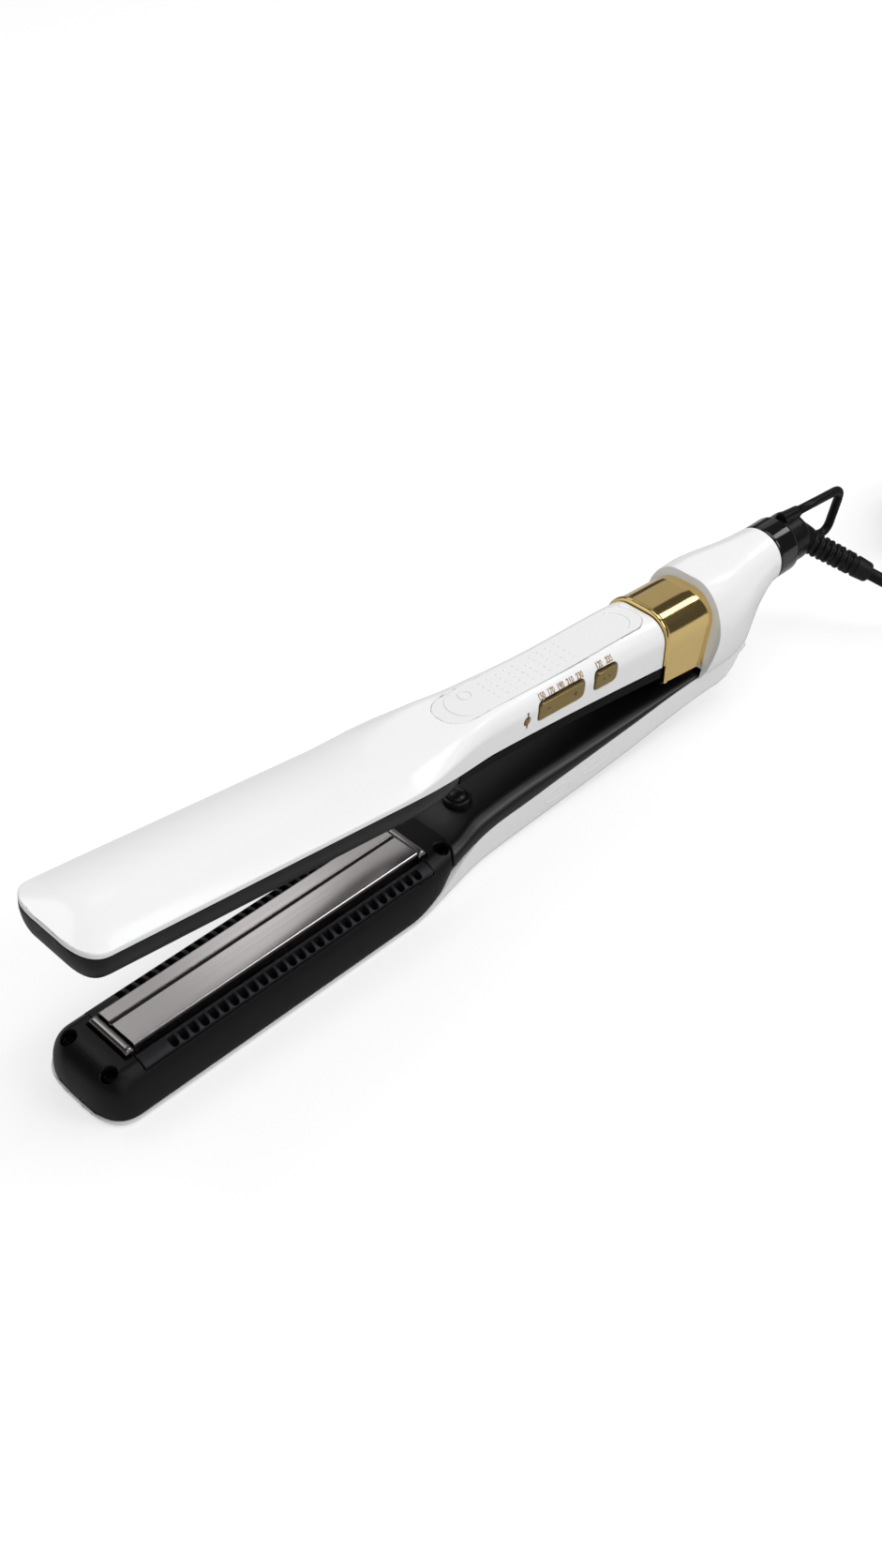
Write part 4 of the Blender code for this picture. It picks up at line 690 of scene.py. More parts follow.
def upper_section(x):
    """Cross section of the upper shell: crowned with a thin lip over the head, round along the handle."""
    half, low, top = upper_half(x), upper_seam(x), upper_crown(x)
    handle = rounded(half, low, top, sharp, upper_edge(x), 12)
    share = flowing(x, (neck_front - 14, 1.0), (handle_front - 6, 0.0))
    if share == 0.0:
        return handle
    front = max(0.0, 1 - (x - upper_tip) / 20.0) ** 2.2
    lip = 0.7
    right = []
    for step in range(13):
        reach = (half - lip) * (1 - max(0, step - 3) / 9.5)
        height = top - 3.0 * (1 - (1 - (reach / half) ** 2.2) * (1 - front))
        if step < 3:
            turn = math.radians(30 * step)
            right.append((half - lip + lip * math.cos(turn), height - lip + lip * math.sin(turn)))
        else:
            right.append((reach, height))
    head = handle[:13] + right + [(-y, z) for y, z in reversed(right)] + handle[39:]
    rest = 1 - share
    return [(a * share + c * rest, b * share + d * rest) for (a, b), (c, d) in zip(head, handle)]


band_lean, band_bottom = 0.11, 22.8


def leaned(x, end):
    """How much a cross section leans where the piece nears the slanted edge of the band."""
    return band_lean * max(0.0, 1 - (end - x) / 6.0)


key_middle, key_tilt, key_height = 35.1, 0.05, 5.8
wide_key_x, small_key_x = 176.0, 196.1
wide_key_length, small_key_length = 20.0, 9.7
key_gap, key_proud, window_corner = 0.5, 0.4, 1.8
lens_x = wide_key_x - 15.2
lens_place = at(lens_x, -upper_half(lens_x), key_middle - 1.6)


def key_ring(x, length, height, corner, y):
    """Outline of a key or its window on the near wall, tilted with the handle."""
    outline = rounded(length / 2, -height / 2, height / 2, (corner, corner), (corner, corner), 6)
    centre = key_middle + key_tilt * (x - wide_key_x)
    return [at(x + u, y, centre + key_tilt * u + v) for u, v in outline]


panel_start, panel_rear, panel_half, panel_gap = 134.0, 221.0, 7.0, 0.12
panel_sink, panel_thickness, pocket_depth, pocket_top = 0.05, 1.0, 1.3, 60.0


def panel_plan(x, grow=0.0):
    """Half width of the grip panel, round at both ends."""
    reach = min(x - panel_start, panel_rear - x) / panel_half
    plan = math.sqrt(max(0.0, 1 - max(0.0, 1 - reach) ** 2))
    return 1.0 + (panel_half - 1.0) * plan + grow


panel_places = tip_places(panel_start, panel_half, 10)
panel_places += between(panel_start + panel_half, panel_rear - panel_half, 24)[1:-1]
panel_places += reversed(tip_places(panel_rear, -panel_half, 10))

handle_places = between(handle_front, band_front - seam, 26)[1:]
shell_places = tip_places(upper_tip, upper_tip_radius) + between(10.0, neck_front, 10)
shell_places += between(neck_front, handle_front, 20)[1:] + handle_places
rings = []
for x in shell_places:
    rings.append(ring(x, upper_section(x), leaned(x, handle_places[-1]), band_bottom))
upper_shell = lofted("upper_shell", rings)
hollow_places = [12.0, 60.0, 102.0] + between(neck_front, handle_front, 10)
hollow_places += handle_places[::4] + [band_front + 4]
crown_wall, hollow_half, hollow_low = 2.2, 10.5, 16.6
rings = []
for x in hollow_places:
    half, top = min(upper_half(x) - shell_wall, hollow_half), upper_crown(x) - crown_wall
    wide, tall = upper_edge(x)
    high_round = min(wide, half * 0.7), min(tall, top - upper_seam(x) - 0.2)
    rings.append(ring(x, rounded(half, hollow_low, top, sharp, high_round, 6)))
tools = [lofted("upper_hollow", rings)]
for x, length in ((wide_key_x, wide_key_length), (small_key_x, small_key_length)):
    face = -upper_half(x) - key_proud
    window = length + 2 * key_gap, key_height + 2 * key_gap, window_corner
    tools.append(lofted("key_window", [key_ring(x, *window, y) for y in (face - 3, face + 4.9)]))
tools.append(turned("lens_bore", [(-3, 1.5), (4, 1.5)], lens_place, (0, 1, 0), 24))
rings = []
for x in panel_places:
    half, bed = panel_plan(x, panel_gap), upper_crown(x) - pocket_depth
    rings.append(ring(x, [(-half, bed), (half, bed), (half, pocket_top), (-half, pocket_top)]))
rings[0] = [spot - Vector((panel_gap * MM, 0, 0)) for spot in rings[0]]
rings[-1] = [spot + Vector((panel_gap * MM, 0, 0)) for spot in rings[-1]]
tools.append(lofted("panel_pocket", rings))
combine(upper_shell, 'DIFFERENCE', *tools)
upper_shell.data.transform(opened)
soften(upper_shell, 0.22)
fit(upper_shell, white_gloss, "upper_arm", "white_gloss", "upper_outer_shell")


# Upper inner cover. The dull black moulding that closes the upper handle on its inner side, snapped into
# the white shell, and runs back under the gold band to the hinge. It meets the bumper when the arms close.
cover_low, cover_wall, cover_bed, cover_open = 20.6, 2.4, 22.6, 45.2
cover_places = between(housing_end + seam, handle_front, 8)
cover_places += between(handle_front, band_front - seam, 20)[1:]
rings = []
for x in cover_places:
    low, high = cover_low, upper_seam(x) - seam
    lean = leaned(x, cover_places[-1])
    outline = rounded(upper_half(x), low, high, (7.0, (high - low) * 0.55), sharp, 1)
    share = max(0.0, 1 - (x - housing_end - seam) / 10.0)
    rings.append(bowed(x, outline, share) if share else ring(x, outline, lean, band_bottom))
for x in (band_front - seam + 0.1, 240.3):
    outline = rounded(upper_half(x), cover_low, 22.5, (4.0, 1.1), sharp, 1)
    rings.append(ring(x, outline, band_lean, band_bottom))
upper_cover = lofted("upper_cover", rings)
rings = []
for x in (137.5, 148.0, 172.0, 197.0, 222.0):
    rings.append(ring(x, rounded(upper_half(x) - cover_wall, cover_bed, cover_open, (3.0, 2.0), sharp, 6)))
combine(upper_cover, 'DIFFERENCE', lofted("cover_hollow", rings))
upper_cover.data.transform(opened)
soften(upper_cover, 0.3)
cover_black = moulding("cover_black", (0.003, 0.003, 0.0035), roughness=0.48, tone=0.2, spread=0.14,
                       grain=2600.0, depth=0.12, sheen=0.07)
fit(upper_cover, cover_black, "upper_arm", "black_moulding", "upper_inner_cover")


# Grip panel. A satin strip let flush into the top of the handle for the thumb: a round front with a
# raised line behind it, a small ring, rows of fine pips, and an arched line at the rear.
white_satin = moulding("white_satin", (0.80, 0.80, 0.805), roughness=0.36, tone=0.08, spread=0.10,
                       grain=1500.0, depth=0.10)
rings = []
for x in panel_places:
    half, top = panel_plan(x), upper_crown(x) - panel_sink
    rings.append(ring(x, rounded(half, top - panel_thickness, top, sharp, (0.25, 0.25), 4)))
grip = lofted("grip_strip", rings)
grip.data.transform(opened)
soften(grip, 0.08)
fit(grip, white_satin, "upper_arm", "white_satin", "grip_panel")


def rod(name, places, radius, sides=10, closed=False):
    """A round line through places in metres, with one radius or one for each place."""
    rings = []
    count = len(places)
    radii = radius if isinstance(radius, list) else [radius] * count
    for index, here in enumerate(places):
        before = places[index - 1] if closed or index else here
        after = places[(index + 1) % count] if closed or index < count - 1 else here
        way = (after - before).normalized()
        side = way.cross(Vector((0, 0, 1)))
        if side.length < 1e-3:
            side = way.cross(Vector((0, 1, 0)))
        side.normalize()
        over = side.cross(way)
        turns = [2 * math.pi * step / sides for step in range(sides)]
        rings.append([here + (side * math.cos(a) + over * math.sin(a)) * radii[index] * MM for a in turns])
    return lofted(name, rings, closed)


def on_panel(x, y, lift=0.0):
    return at(x, y, upper_crown(x) - panel_sink + lift)


def panel_arc(x, y, wide, tall, start, end, steps):
    """Places on the panel along part of an oval, from one angle to another in degrees."""
    turns = [math.radians(angle) for angle in between(start, end, steps)]
    return [on_panel(x + wide * math.cos(a), y + tall * math.sin(a)) for a in turns]


front_line = panel_arc(panel_start + 10.5, 0.0, -5.8, 5.9, -90, 90, 20)
thumb_ring = panel_arc(147.6, 2.8, 2.2, 1.9, 0, 360, 32)[:-1]
rear_line = panel_arc(panel_rear - 9.5, 0.0, 5.0, 5.2, -80, 80, 20)
lines = [rod("grip_front_line", front_line, 0.22), rod("grip_ring", thumb_ring, 0.3, 10, True),
         rod("grip_rear_line", rear_line, 0.22)]
for line in lines:
    line.data.transform(opened)
    line.data.shade_smooth()
    fit(line, white_satin, "upper_arm", "white_satin")

pip_radius, pip_sink = 0.5, 0.1
pips = bmesh.new()
for column in range(10):
    for row in range(5):
        centre = on_panel(155.0 + 3.7 * column, -4.4 + 2.2 * row, -pip_sink)
        flattened = Matrix.Translation(centre) @ Matrix.Scale(0.7, 4, (0, 0, 1))
        bmesh.ops.create_uvsphere(pips, u_segments=12, v_segments=8, radius=pip_radius * MM, matrix=flattened)
pips = new_piece("grip_pips", pips)
pips.data.transform(opened)
pips.data.shade_smooth()
fit(pips, white_satin, "upper_arm", "white_satin")


# Keys. The wide temperature rocker and the small power key, satin gold caps with a bevelled border that
# stand just proud of the near wall, with fine engraved marks; printed gold numbers give the settings.
gold_key = metal("gold_key", (0.37, 0.27, 0.105), (0.28, 0.20, 0.07), roughness=0.33, spread=0.14,
                 stretch=(40.0, 900.0, 900.0), depth=0.06)
mark_brown = moulding("mark_brown", (0.10, 0.07, 0.035), roughness=0.5, tone=0.2, spread=0.1,
                      grain=1500.0, depth=0.1)


def key_cap(name, x, length):
    """A cap from its foot to its dished face, in steps of (trim, corner, depth behind the face)."""
    face = -upper_half(x) - key_proud
    rings = []
    for trim, corner, depth in ((0.0, 1.4, 3.4), (0.0, 1.4, 0.55), (0.12, 1.36, 0.25), (0.5, 1.25, 0.05),
                                (1.0, 1.1, 0.0), (1.7, 0.9, 0.12)):
        rings.append(key_ring(x, length - trim, key_height - trim, corner, face + depth))
    cap = lofted(name, rings)
    cap.data.transform(opened)
    soften(cap, 0.05)
    return cap


mark_proud, mark_thickness = 0.27, 0.16


def key_mark(name, body, x, spots):
    """Engraved marks on a key: small filled shapes of (along, up, width, height)."""
    marks = bmesh.new()
    for u, v, wide, tall in spots:
        height = key_middle + key_tilt * (x + u - wide_key_x) + v
        centre = at(x + u, -upper_half(x) - mark_proud, height)
        shape = Matrix.Translation(centre) @ Matrix.Diagonal((wide * MM, mark_thickness * MM, tall * MM, 1))
        bmesh.ops.create_cube(marks, size=1.0, matrix=shape)
    marks = new_piece(name, marks)
    marks.data.transform(opened)
    fit(marks, mark_brown, body, "gold_key")


wide_key = key_cap("wide_key", wide_key_x, wide_key_length)
fit(wide_key, gold_key, "temperature_key", "gold_key", "temperature_key")
key_mark("wide_key_marks", "temperature_key", wide_key_x,
         [(-6.0, 0.0, 1.6, 0.35), (6.0, 0.0, 1.6, 0.35), (6.0, 0.0, 0.35, 1.6)])
small_key = key_cap("small_key", small_key_x, small_key_length)
fit(small_key, gold_key, "power_key", "gold_key", "power_key")
key_mark("small_key_marks", "power_key", small_key_x, [(-1.3, 0.0, 0.6, 0.6), (1.3, 0.0, 0.6, 0.6)])

print_gold = moulding("print_gold", (0.36, 0.20, 0.06), roughness=0.42, tone=0.15, spread=0.1,
                      grain=2000.0, depth=0.02)
number_size, number_turn, print_lift = 2.4, math.radians(39), 0.05


def printed_number(text, x):
    """A number on the round of the shell above a key, standing off the surface by a print's thickness."""
    curve = bpy.data.curves.new("number_" + text, 'FONT')
    curve.body = text
    curve.size = number_size * MM
    curve.align_x = 'CENTER'
    curve.align_y = 'CENTER'
    curve.extrude = 0.02 * MM
    curve.offset = 0.04 * MM
    wide, tall = upper_edge(x)
    y = -(upper_half(x) - wide + wide * math.cos(number_turn))
    z = upper_crown(x) - tall + tall * math.sin(number_turn)
    outward = Vector((0, -math.cos(number_turn), math.sin(number_turn)))
    slope = (upper_crown(x + 1) - upper_crown(x - 1)) / 2
    right = Vector((1, 0, slope * 0.8))
    right = (right - outward * right.dot(outward)).normalized()
    turn = Matrix((right, outward.cross(right), outward)).transposed().to_4x4()
    made = bpy.data.objects.new("number_" + text, curve)
    bpy.context.scene.collection.objects.link(made)
    flat = bpy.data.meshes.new_from_object(made.evaluated_get(bpy.context.evaluated_depsgraph_get()))
    bpy.data.objects.remove(made, do_unlink=True)
    bpy.data.curves.remove(curve)
    narrow = Matrix.Diagonal((0.86, 1.25, 1.0, 1.0))
    flat.transform(Matrix.Translation(at(x, y, z) + outward * print_lift * MM) @ turn @ narrow)
    return flat


numbers = bmesh.new()
for text, x in (("150", 167.6), ("170", 171.9), ("190", 176.2), ("210", 180.5), ("230", 184.8),
                ("120", 193.6), ("235", 198.2)):
    flat = printed_number(text, x)
    numbers.from_mesh(flat)
    bpy.data.meshes.remove(flat)
numbers = new_piece("setting_numbers", numbers)
numbers.data.transform(opened)
fit(numbers, print_gold, "upper_arm", "gold_key")

amber_lens = moulding("amber_lens", (0.24, 0.11, 0.02), roughness=0.22, tone=0.3, spread=0.05,
                      grain=900.0, depth=0.02, coat=0.5)
lens_profile = [(-0.3, 0.5), (-0.2, 1.0), (0.0, 1.3), (0.2, 1.4), (2.8, 1.4)]
lens = turned("lens_dome", lens_profile, lens_place, (0, 1, 0), 4)
lens.data.transform(opened)
soften(lens, 0.1)
fit(lens, amber_lens, "upper_arm", "amber_lens", "indicator_lens")
mark_half, mark_wall = 0.26, -upper_half(lens_x)
low = (lens_x - mark_half, mark_wall - 0.04, key_middle - 4.0)
high = (lens_x + mark_half, mark_wall + 0.4, key_middle + 1.4)
lens_mark = box_between("lens_mark", low, high)
lens_mark.data.transform(opened)
fit(lens_mark, mark_brown, "upper_arm", "amber_lens")


# Gold band. A polished, lacquered metal band pressed over the rear of the upper arm, with a rolled lip
# at its slanted front edge; its rear end slides into the hood of the tail as the arm opens.
gold_metal = metal("gold_metal", (0.95, 0.70, 0.29), (0.80, 0.56, 0.20), roughness=0.12, spread=0.08,
                   stretch=(60.0, 60.0, 500.0), depth=0.03)
band_half, band_top, band_wall = 13.0, 46.6, 1.4
band_side, band_shoulder = band_half - 3.0, 10.5
band_steps = [(0.0, 0.0), (0.15, 0.25), (0.5, 0.42), (1.2, 0.42), (1.6, 0.25), (1.8, 0.0)]
band_steps += [(reach, 0.0) for reach in (2.2, 7.0, 12.0, 17.0, 20.0, 24.0, 28.0, 32.0)]
rings = []
for reach, out in band_steps:
    crest = band_top + flowing(reach, (0.0, 0.0), (20.0, 1.1), (27.0, 0.8)) + out
    corner = band_side + out, band_shoulder + out
    outline = rounded(band_half + out, band_bottom, crest, sharp, corner, 16)
    rings.append(ring(band_front + reach, outline, band_lean, band_bottom))
band = lofted("band", rings)
corner = band_side - band_wall, band_shoulder - band_wall
outline = rounded(band_half - band_wall, band_bottom - 4, band_top - band_wall, sharp, corner, 16)
rings = [ring(x, outline) for x in (band_front - 8, band_front + 38)]
combine(band, 'DIFFERENCE', lofted("band_hollow", rings))
band.data.transform(opened)
soften(band, 0.15)
fit(band, gold_metal, "upper_arm", "gold_metal", "gold_band")


# Hinge. A steel fork on the lower tray, the pin across it, the sprung wire that lifts the upper arm and
# the moulded knuckle that hangs on the pin; all sit inside the band and the hood.
def finish_solid(node, finish):
    """Gives a solid that stays its own finish."""
    frame["nodes"][node].data.materials.clear()
    frame["nodes"][node].data.materials.append(finish)


for node in ("hinge_bracket", "hinge_pin", "hinge_spring"):
    finish_solid(node, steel)
finish_solid("upper_hinge_knuckle", black_moulding)


# Tail. Two white shells, screwed together along a stepped side seam, that close the rear of the lower
# arm; their front is a hood with a thick rim close round the gold band, and they taper to the collar.
collar_height, collar_radius = 38.7, 10.0
hood_rim, hood_half, hood_top = hood_front - 2.2, 16.2, 50.2


def tail_half(x):
    return flowing(x, (hood_rim, hood_half), (hood_front + 7, 16.2), (tray_end, 14.4),
                   (collar_front - 10, 11.6), (collar_front, collar_radius))


def tail_widest(x):
    """Height at which the tail is widest."""
    return flowing(x, (hood_rim, 31.0), (hood_front + 20, 34.6), (collar_front, collar_height))


def tail_low(x):
    seat = lower_seam(min(x, tray_end)) + 0.05
    return flowing(x, (tray_end, seat), (collar_front - 11, 25.0),
                   (collar_front, collar_height - collar_radius))


def tail_high(x):
    return flowing(x, (hood_rim, hood_top), (hood_front + 20, 48.9),
                   (collar_front, collar_height + collar_radius))


def tail_parting(x):
    """Height of the side seam, low along the hood and stepped up behind it."""
    return flowing(x, (hood_rim - 6, 20.0), (hood_rim - 1, 24.1), (hood_rim + 3, 26.4),
                   (hood_rim + 7.7, 27.1), (hood_rim + 10.4, 27.8), (hood_rim + 12.4, 39.2),
                   (hood_rim + 15.2, 42.5), (hood_rim + 25, 43.3), (collar_front, 43.0))


sweep_length, sweep_height = 16.0, 31.0


def swept(x, outline):
    """A cross section whose low part reaches forward at the hood's rim."""
    share = max(0.0, 1 - (x - hood_rim) / sweep_length)
    spots = []
    for y, z in outline:
        below = max(0.0, sweep_height - z)
        spots.append(at(x - share * (0.25 * below + 0.015 * below ** 2), y, z))
    return spots


tail_rings = []
for x in between(hood_rim, collar_front, 44):
    widest, low, high = tail_widest(x), tail_low(x), tail_high(x)
    side = flowing(x, (hood_rim, 2.6), (tray_end, 1.6), (collar_front - 12, 6.0),
                   (collar_front, collar_radius - 0.1))
    crown = flowing(x, (hood_rim, 12.3), (collar_front, collar_radius - 0.1))
    low_round, high_round = (side, (widest - low) * 0.95), (crown, (high - widest) * 0.95)
    tail_rings.append(swept(x, rounded(tail_half(x), low, high, low_round, high_round, 18)))
hood_end, stem_room = hood_front + 6.5, 6.0
seam_places = between(hood_rim - 12, hood_rim + 9, 16) + between(hood_rim + 9, hood_rim + 16, 28)[1:]
seam_places += between(hood_rim + 16, collar_front + 3, 12)[1:]
for name, shift in (("tail_lower", -seam / 2), ("tail_upper", seam / 2)):
    shell = lofted(name, tail_rings)
    opening = rounded(band_half + 0.5, 9.0, band_top + 1.35, sharp, (band_half - 2.8, 10.8), 16)
    hood = lofted("hood_opening", [ring(x, opening) for x in (hood_rim - 14, hood_end)])
    bore = turned("stem_bore", [(0, stem_room), (collar_front - hood_end + 6, stem_room)],
                  at(hood_end - 3, 0, collar_height), (1, 0, 0), 40)
    combine(shell, 'DIFFERENCE', hood, bore)
    below = []
    for x in seam_places:
        edge = tail_parting(x) + shift
        below.append(ring(x, [(-25.0, 0.0), (25.0, 0.0), (25.0, edge), (-25.0, edge)]))
    combine(shell, 'INTERSECT' if name == "tail_lower" else 'DIFFERENCE', lofted("below_seam", below))
    soften(shell, 0.2, 3)
    fit(shell, white_gloss, "lower_arm", "white_gloss", name + "_shell")


# Collar, swivel and hanging loop. A gloss black collar closes the tail; the rubber head behind it turns
# on its stem and carries the elbow of the cord and the bent loop that the tool hangs on.
black_gloss = moulding("black_gloss", (0.004, 0.004, 0.0045), roughness=0.10, tone=0.2, spread=0.06,
                       grain=900.0, depth=0.02, coat=0.4)
axle = at(collar_front, 0, collar_height)
collar_profile = [(0.3, 9.3), (0.45, 9.7), (0.8, 9.95), (1.3, 10.0), (8.9, 10.0), (9.5, 9.9), (9.85, 9.6),
                  (10.0, 9.2)]
collar = turned("collar", collar_profile, axle, (1, 0, 0), 72)
combine(collar, 'DIFFERENCE', turned("collar_bore", [(-2, 5.3), (14, 5.3)], axle, (1, 0, 0), 48))
soften(collar, 0.1)
fit(collar, black_gloss, "lower_arm", "black_gloss", "swivel_collar")

collar_rear = collar_front + 10.0
swivel_radius, swivel_length = 8.8, 10.0
relief_start = Vector((collar_rear + 13.5, -5.0, collar_height - 3.3))
relief_way = Vector((12.0, -16.8, -10.0)).normalized()
black_satin = moulding("black_satin", (0.006, 0.006, 0.0065), roughness=0.28, tone=0.25, spread=0.12,
                       grain=1600.0, depth=0.12, sheen=0.2)
swivel_profile = [(-16, 5.7), (-13, 5.7), (-13, 5.0), (0.3, 5.0), (0.3, 8.1), (0.5, 8.55), (0.9, 8.8),
                  (7.0, 8.8), (8.2, 8.55), (9.2, 7.9), (10.0, 7.0)]
swivel = turned("swivel", swivel_profile, at(collar_rear, 0, collar_height), (1, 0, 0), 56)


def arched(start, peak, end, count):
    """Points on a parabola from start to end, drawn towards the peak between them."""
    return [start * (1 - t) ** 2 + peak * 2 * t * (1 - t) + end * t ** 2 for t in between(0, 1, count)]


elbow_root = Vector((collar_rear + 3.0, 0, collar_height))
elbow_line = arched(elbow_root, relief_start - relief_way * 9.0, relief_start - relief_way * seam, 14)
elbow_line = [at(*spot) for spot in elbow_line]
elbow_radii = [flowing(t, (0.0, 8.2), (0.35, 7.4), (0.7, 5.7), (0.93, 4.8), (1.0, 4.4))
               for t in between(0, 1, 14)]
elbow = rod("elbow", elbow_line, elbow_radii, 40)
loop_top = Vector((collar_rear + 2.5, 0.0, collar_height + swivel_radius + 0.2))
loop_bend = Vector((collar_rear + 36.5, 0.0, collar_height + 6.2))
loop_low = Vector((collar_rear + 32.4, 1.0, collar_height - 11.1))
loop_root = Vector((collar_rear + swivel_length + seam, 4.0, collar_height - 5.7))
loop_way = (loop_bend - loop_top).normalized()
boss = turned("loop_boss", [(-1.5, 2.4), (7.2, 2.1), (7.8, 2.0), (8.0, 1.8)], at(*loop_top), loop_way, 28)
combine(swivel, 'UNION', elbow, boss)
soften(swivel, 0.35, 3)
fit(swivel, black_satin, "cord_swivel", "black_rubber", "swivel_head")


def bent(before, peak, after, cut):
    """Points round a bend of the loop, between its two legs."""
    start = peak + (before - peak).normalized() * cut
    end = peak + (after - peak).normalized() * cut
    return arched(start, peak, end, 12)


loop_line = [loop_top + loop_way * 8.3, loop_top + (loop_bend - loop_top) * 0.55]
loop_line += bent(loop_top, loop_bend, loop_low, 4.6) + bent(loop_bend, loop_low, loop_root, 4.6)
loop_line += [loop_low + (loop_root - loop_low) * 0.6, loop_root + Vector((1.5, 0, -0.3)), loop_root]
loop = rod("loop", [at(*spot) for spot in loop_line], 1.6, 20)
loop.data.shade_smooth()
fit(loop, black_satin, "cord_swivel", "black_rubber", "hanging_loop")


# Strain relief. A soft rubber sleeve moulded over the cord where it leaves the swivel: a tapered core with
# rounded ribs, joined by short webs so that it bends without kinking.
black_rubber = moulding("black_rubber", (0.008, 0.008, 0.0085), roughness=0.45, tone=0.3, spread=0.12,
                        grain=1800.0, depth=0.25, sheen=0.2)
relief_length, rib_count, rib_start, rib_pitch, relief_core = 24.0, 8, 1.0, 2.25, 3.2
profile = [(0.0, 4.3), (0.9, 4.3)]
for rib in range(rib_count):
    start = rib_start + rib * rib_pitch
    crest = 4.3 - 0.06 * rib
    profile += [(start + 0.10, crest - 0.15), (start + 0.35, relief_core), (start + 1.15, relief_core)]
    profile += [(start + 1.4, crest - 0.15), (start + 1.55, crest), (start + 2.1, crest)]
profile += [(21.4, 3.7), (23.2, 3.6), (23.8, 3.3), (relief_length, 2.9)]
relief = turned("relief", profile, at(*relief_start), relief_way, 32)
relief_side = relief_way.cross(Vector((0, 0, 1))).normalized()
relief_over = relief_side.cross(relief_way)
webs = []
for rib in range(rib_count):
    for turn in ((0, 180) if rib % 2 else (90, 270)):
        out = relief_side * math.cos(math.radians(turn)) + relief_over * math.sin(math.radians(turn))
        across = relief_way.cross(out)
        base = relief_start + relief_way * (rib_start + rib * rib_pitch) + out * 2.5
        corners = [across * u + out * v for u, v in ((-1.1, 0.0), (1.1, 0.0), (1.1, 1.35), (-1.1, 1.35))]
        rings = [[at(*(base + relief_way * reach + corner)) for corner in corners] for reach in (-0.1, 1.7)]
        webs.append(lofted("web", rings))
combine(relief, 'UNION', *webs)
soften(relief, 0.12)
fit(relief, black_rubber, "cord_swivel", "black_rubber", "strain_relief")


# Cord. A round two-core lead in black plastic, about two metres long. It drops from the sleeve to the
# table, and its length is put away in a neat coil under a tie.
cord_radius = 2.25
coil_centre = Vector((collar_rear + 112.0, -15.0, 0.0))
coil_entry = math.radians(270.0)
coil_radius, coil_step, coil_turns, coil_layers = 32.2, 5.4, 3, 4
coil_base, coil_rise = cord_radius + 1.6, 2 * cord_radius + 0.7
end_radius, end_turn, end_rise = 20.0, math.radians(185.0), 2 * cord_radius + 2.4
plug_thickness = 12.0


def polar(radius, angle):
    return Vector((radius * math.cos(angle), radius * math.sin(angle), 0.0))


def eased(t):
    t = min(1.0, max(0.0, t))
    return t * t * (3 - 2 * t)


def smooth_through(knots, per_span):
    """Points on a smooth curve through the given knots."""
    ends = [knots[0] * 2 - knots[1], *knots, knots[-1] * 2 - knots[-2]]
    route = []
    for index in range(1, len(ends) - 2):
        a, b, c, d = ends[index - 1:index + 3]
        for t in between(0, 1, per_span)[:-1]:
            spot = 2 * b + (c - a) * t + (2 * a - 5 * b + 4 * c - d) * t ** 2
            spot += (3 * b - a - 3 * c + d) * t ** 3
            route.append(spot / 2)
    return route + [knots[-1]]


cord_start = relief_start + relief_way * (relief_length + seam)
entry = coil_centre + polar(coil_radius, coil_entry) + Vector((0, 0, coil_base))
entry_way = polar(1.0, coil_entry + math.pi / 2)
knots = [cord_start, cord_start + relief_way * 6, Vector((collar_rear + 41.0, -39.2, 12.6)),
         Vector((collar_rear + 54.0, -45.2, 6.9)), Vector((collar_rear + 76.0, -46.4, 4.4)),
         entry - entry_way * 14, entry - entry_way * seam]
cord_line = smooth_through(knots, 6)
turn_points = 40
layer_points = coil_turns * turn_points
for step in range(1, coil_layers * layer_points + 1):
    layer = min(step // layer_points, coil_layers - 1)
    share = (step - layer * layer_points) / layer_points
    inward = share if layer % 2 == 0 else 1 - share
    radius = coil_radius - coil_step * coil_turns * inward
    height = coil_base
    for turn_back in range(1, coil_layers):
        height += coil_rise * eased((step - turn_back * layer_points) / (turn_points / 2) + 0.5)
    height += end_rise * eased((step - coil_layers * layer_points) / (turn_points / 4) + 1.0)
    turn = coil_entry + 2 * math.pi * step / turn_points
    cord_line.append(coil_centre + polar(radius, turn) + Vector((0, 0, height)))
coil_top = coil_base + coil_rise * (coil_layers - 1)
end_hub = coil_centre + polar(coil_radius - end_radius, coil_entry)
plug_way = polar(1.0, coil_entry + end_turn + math.pi / 2)
plug_start = end_hub + polar(end_radius, coil_entry + end_turn) + plug_way * 6.0
plug_start.z = coil_top + cord_radius + seam * 2 + plug_thickness / 2
for share in between(0, 1, 24)[1:]:
    height = coil_top + end_rise + (plug_start.z - coil_top - end_rise) * eased((share - 0.4) / 0.6)
    cord_line.append(end_hub + polar(end_radius, coil_entry + end_turn * share) + Vector((0, 0, height)))
cord_line.append(plug_start - plug_way * seam)
cord_curve = bpy.data.curves.new("cord", 'CURVE')
cord_curve.dimensions = '3D'
cord_curve.bevel_depth = cord_radius * MM
cord_curve.bevel_resolution = 5
cord_curve.use_fill_caps = True
spline = cord_curve.splines.new('POLY')
spline.points.add(len(cord_line) - 1)
for knot, spot in zip(spline.points, cord_line):
    knot.co = (*at(*spot), 1.0)
spline.use_smooth = True
cord = bpy.data.objects.new("cord", cord_curve)
bpy.context.scene.collection.objects.link(cord)
cord_black = moulding("cord_black", (0.006, 0.006, 0.0065), roughness=0.36, tone=0.2, spread=0.12,
                      grain=1200.0, depth=0.12, sheen=0.15)
fit(cord, cord_black, "cord_swivel", "black_rubber", "cord_lead", "cord_coil")
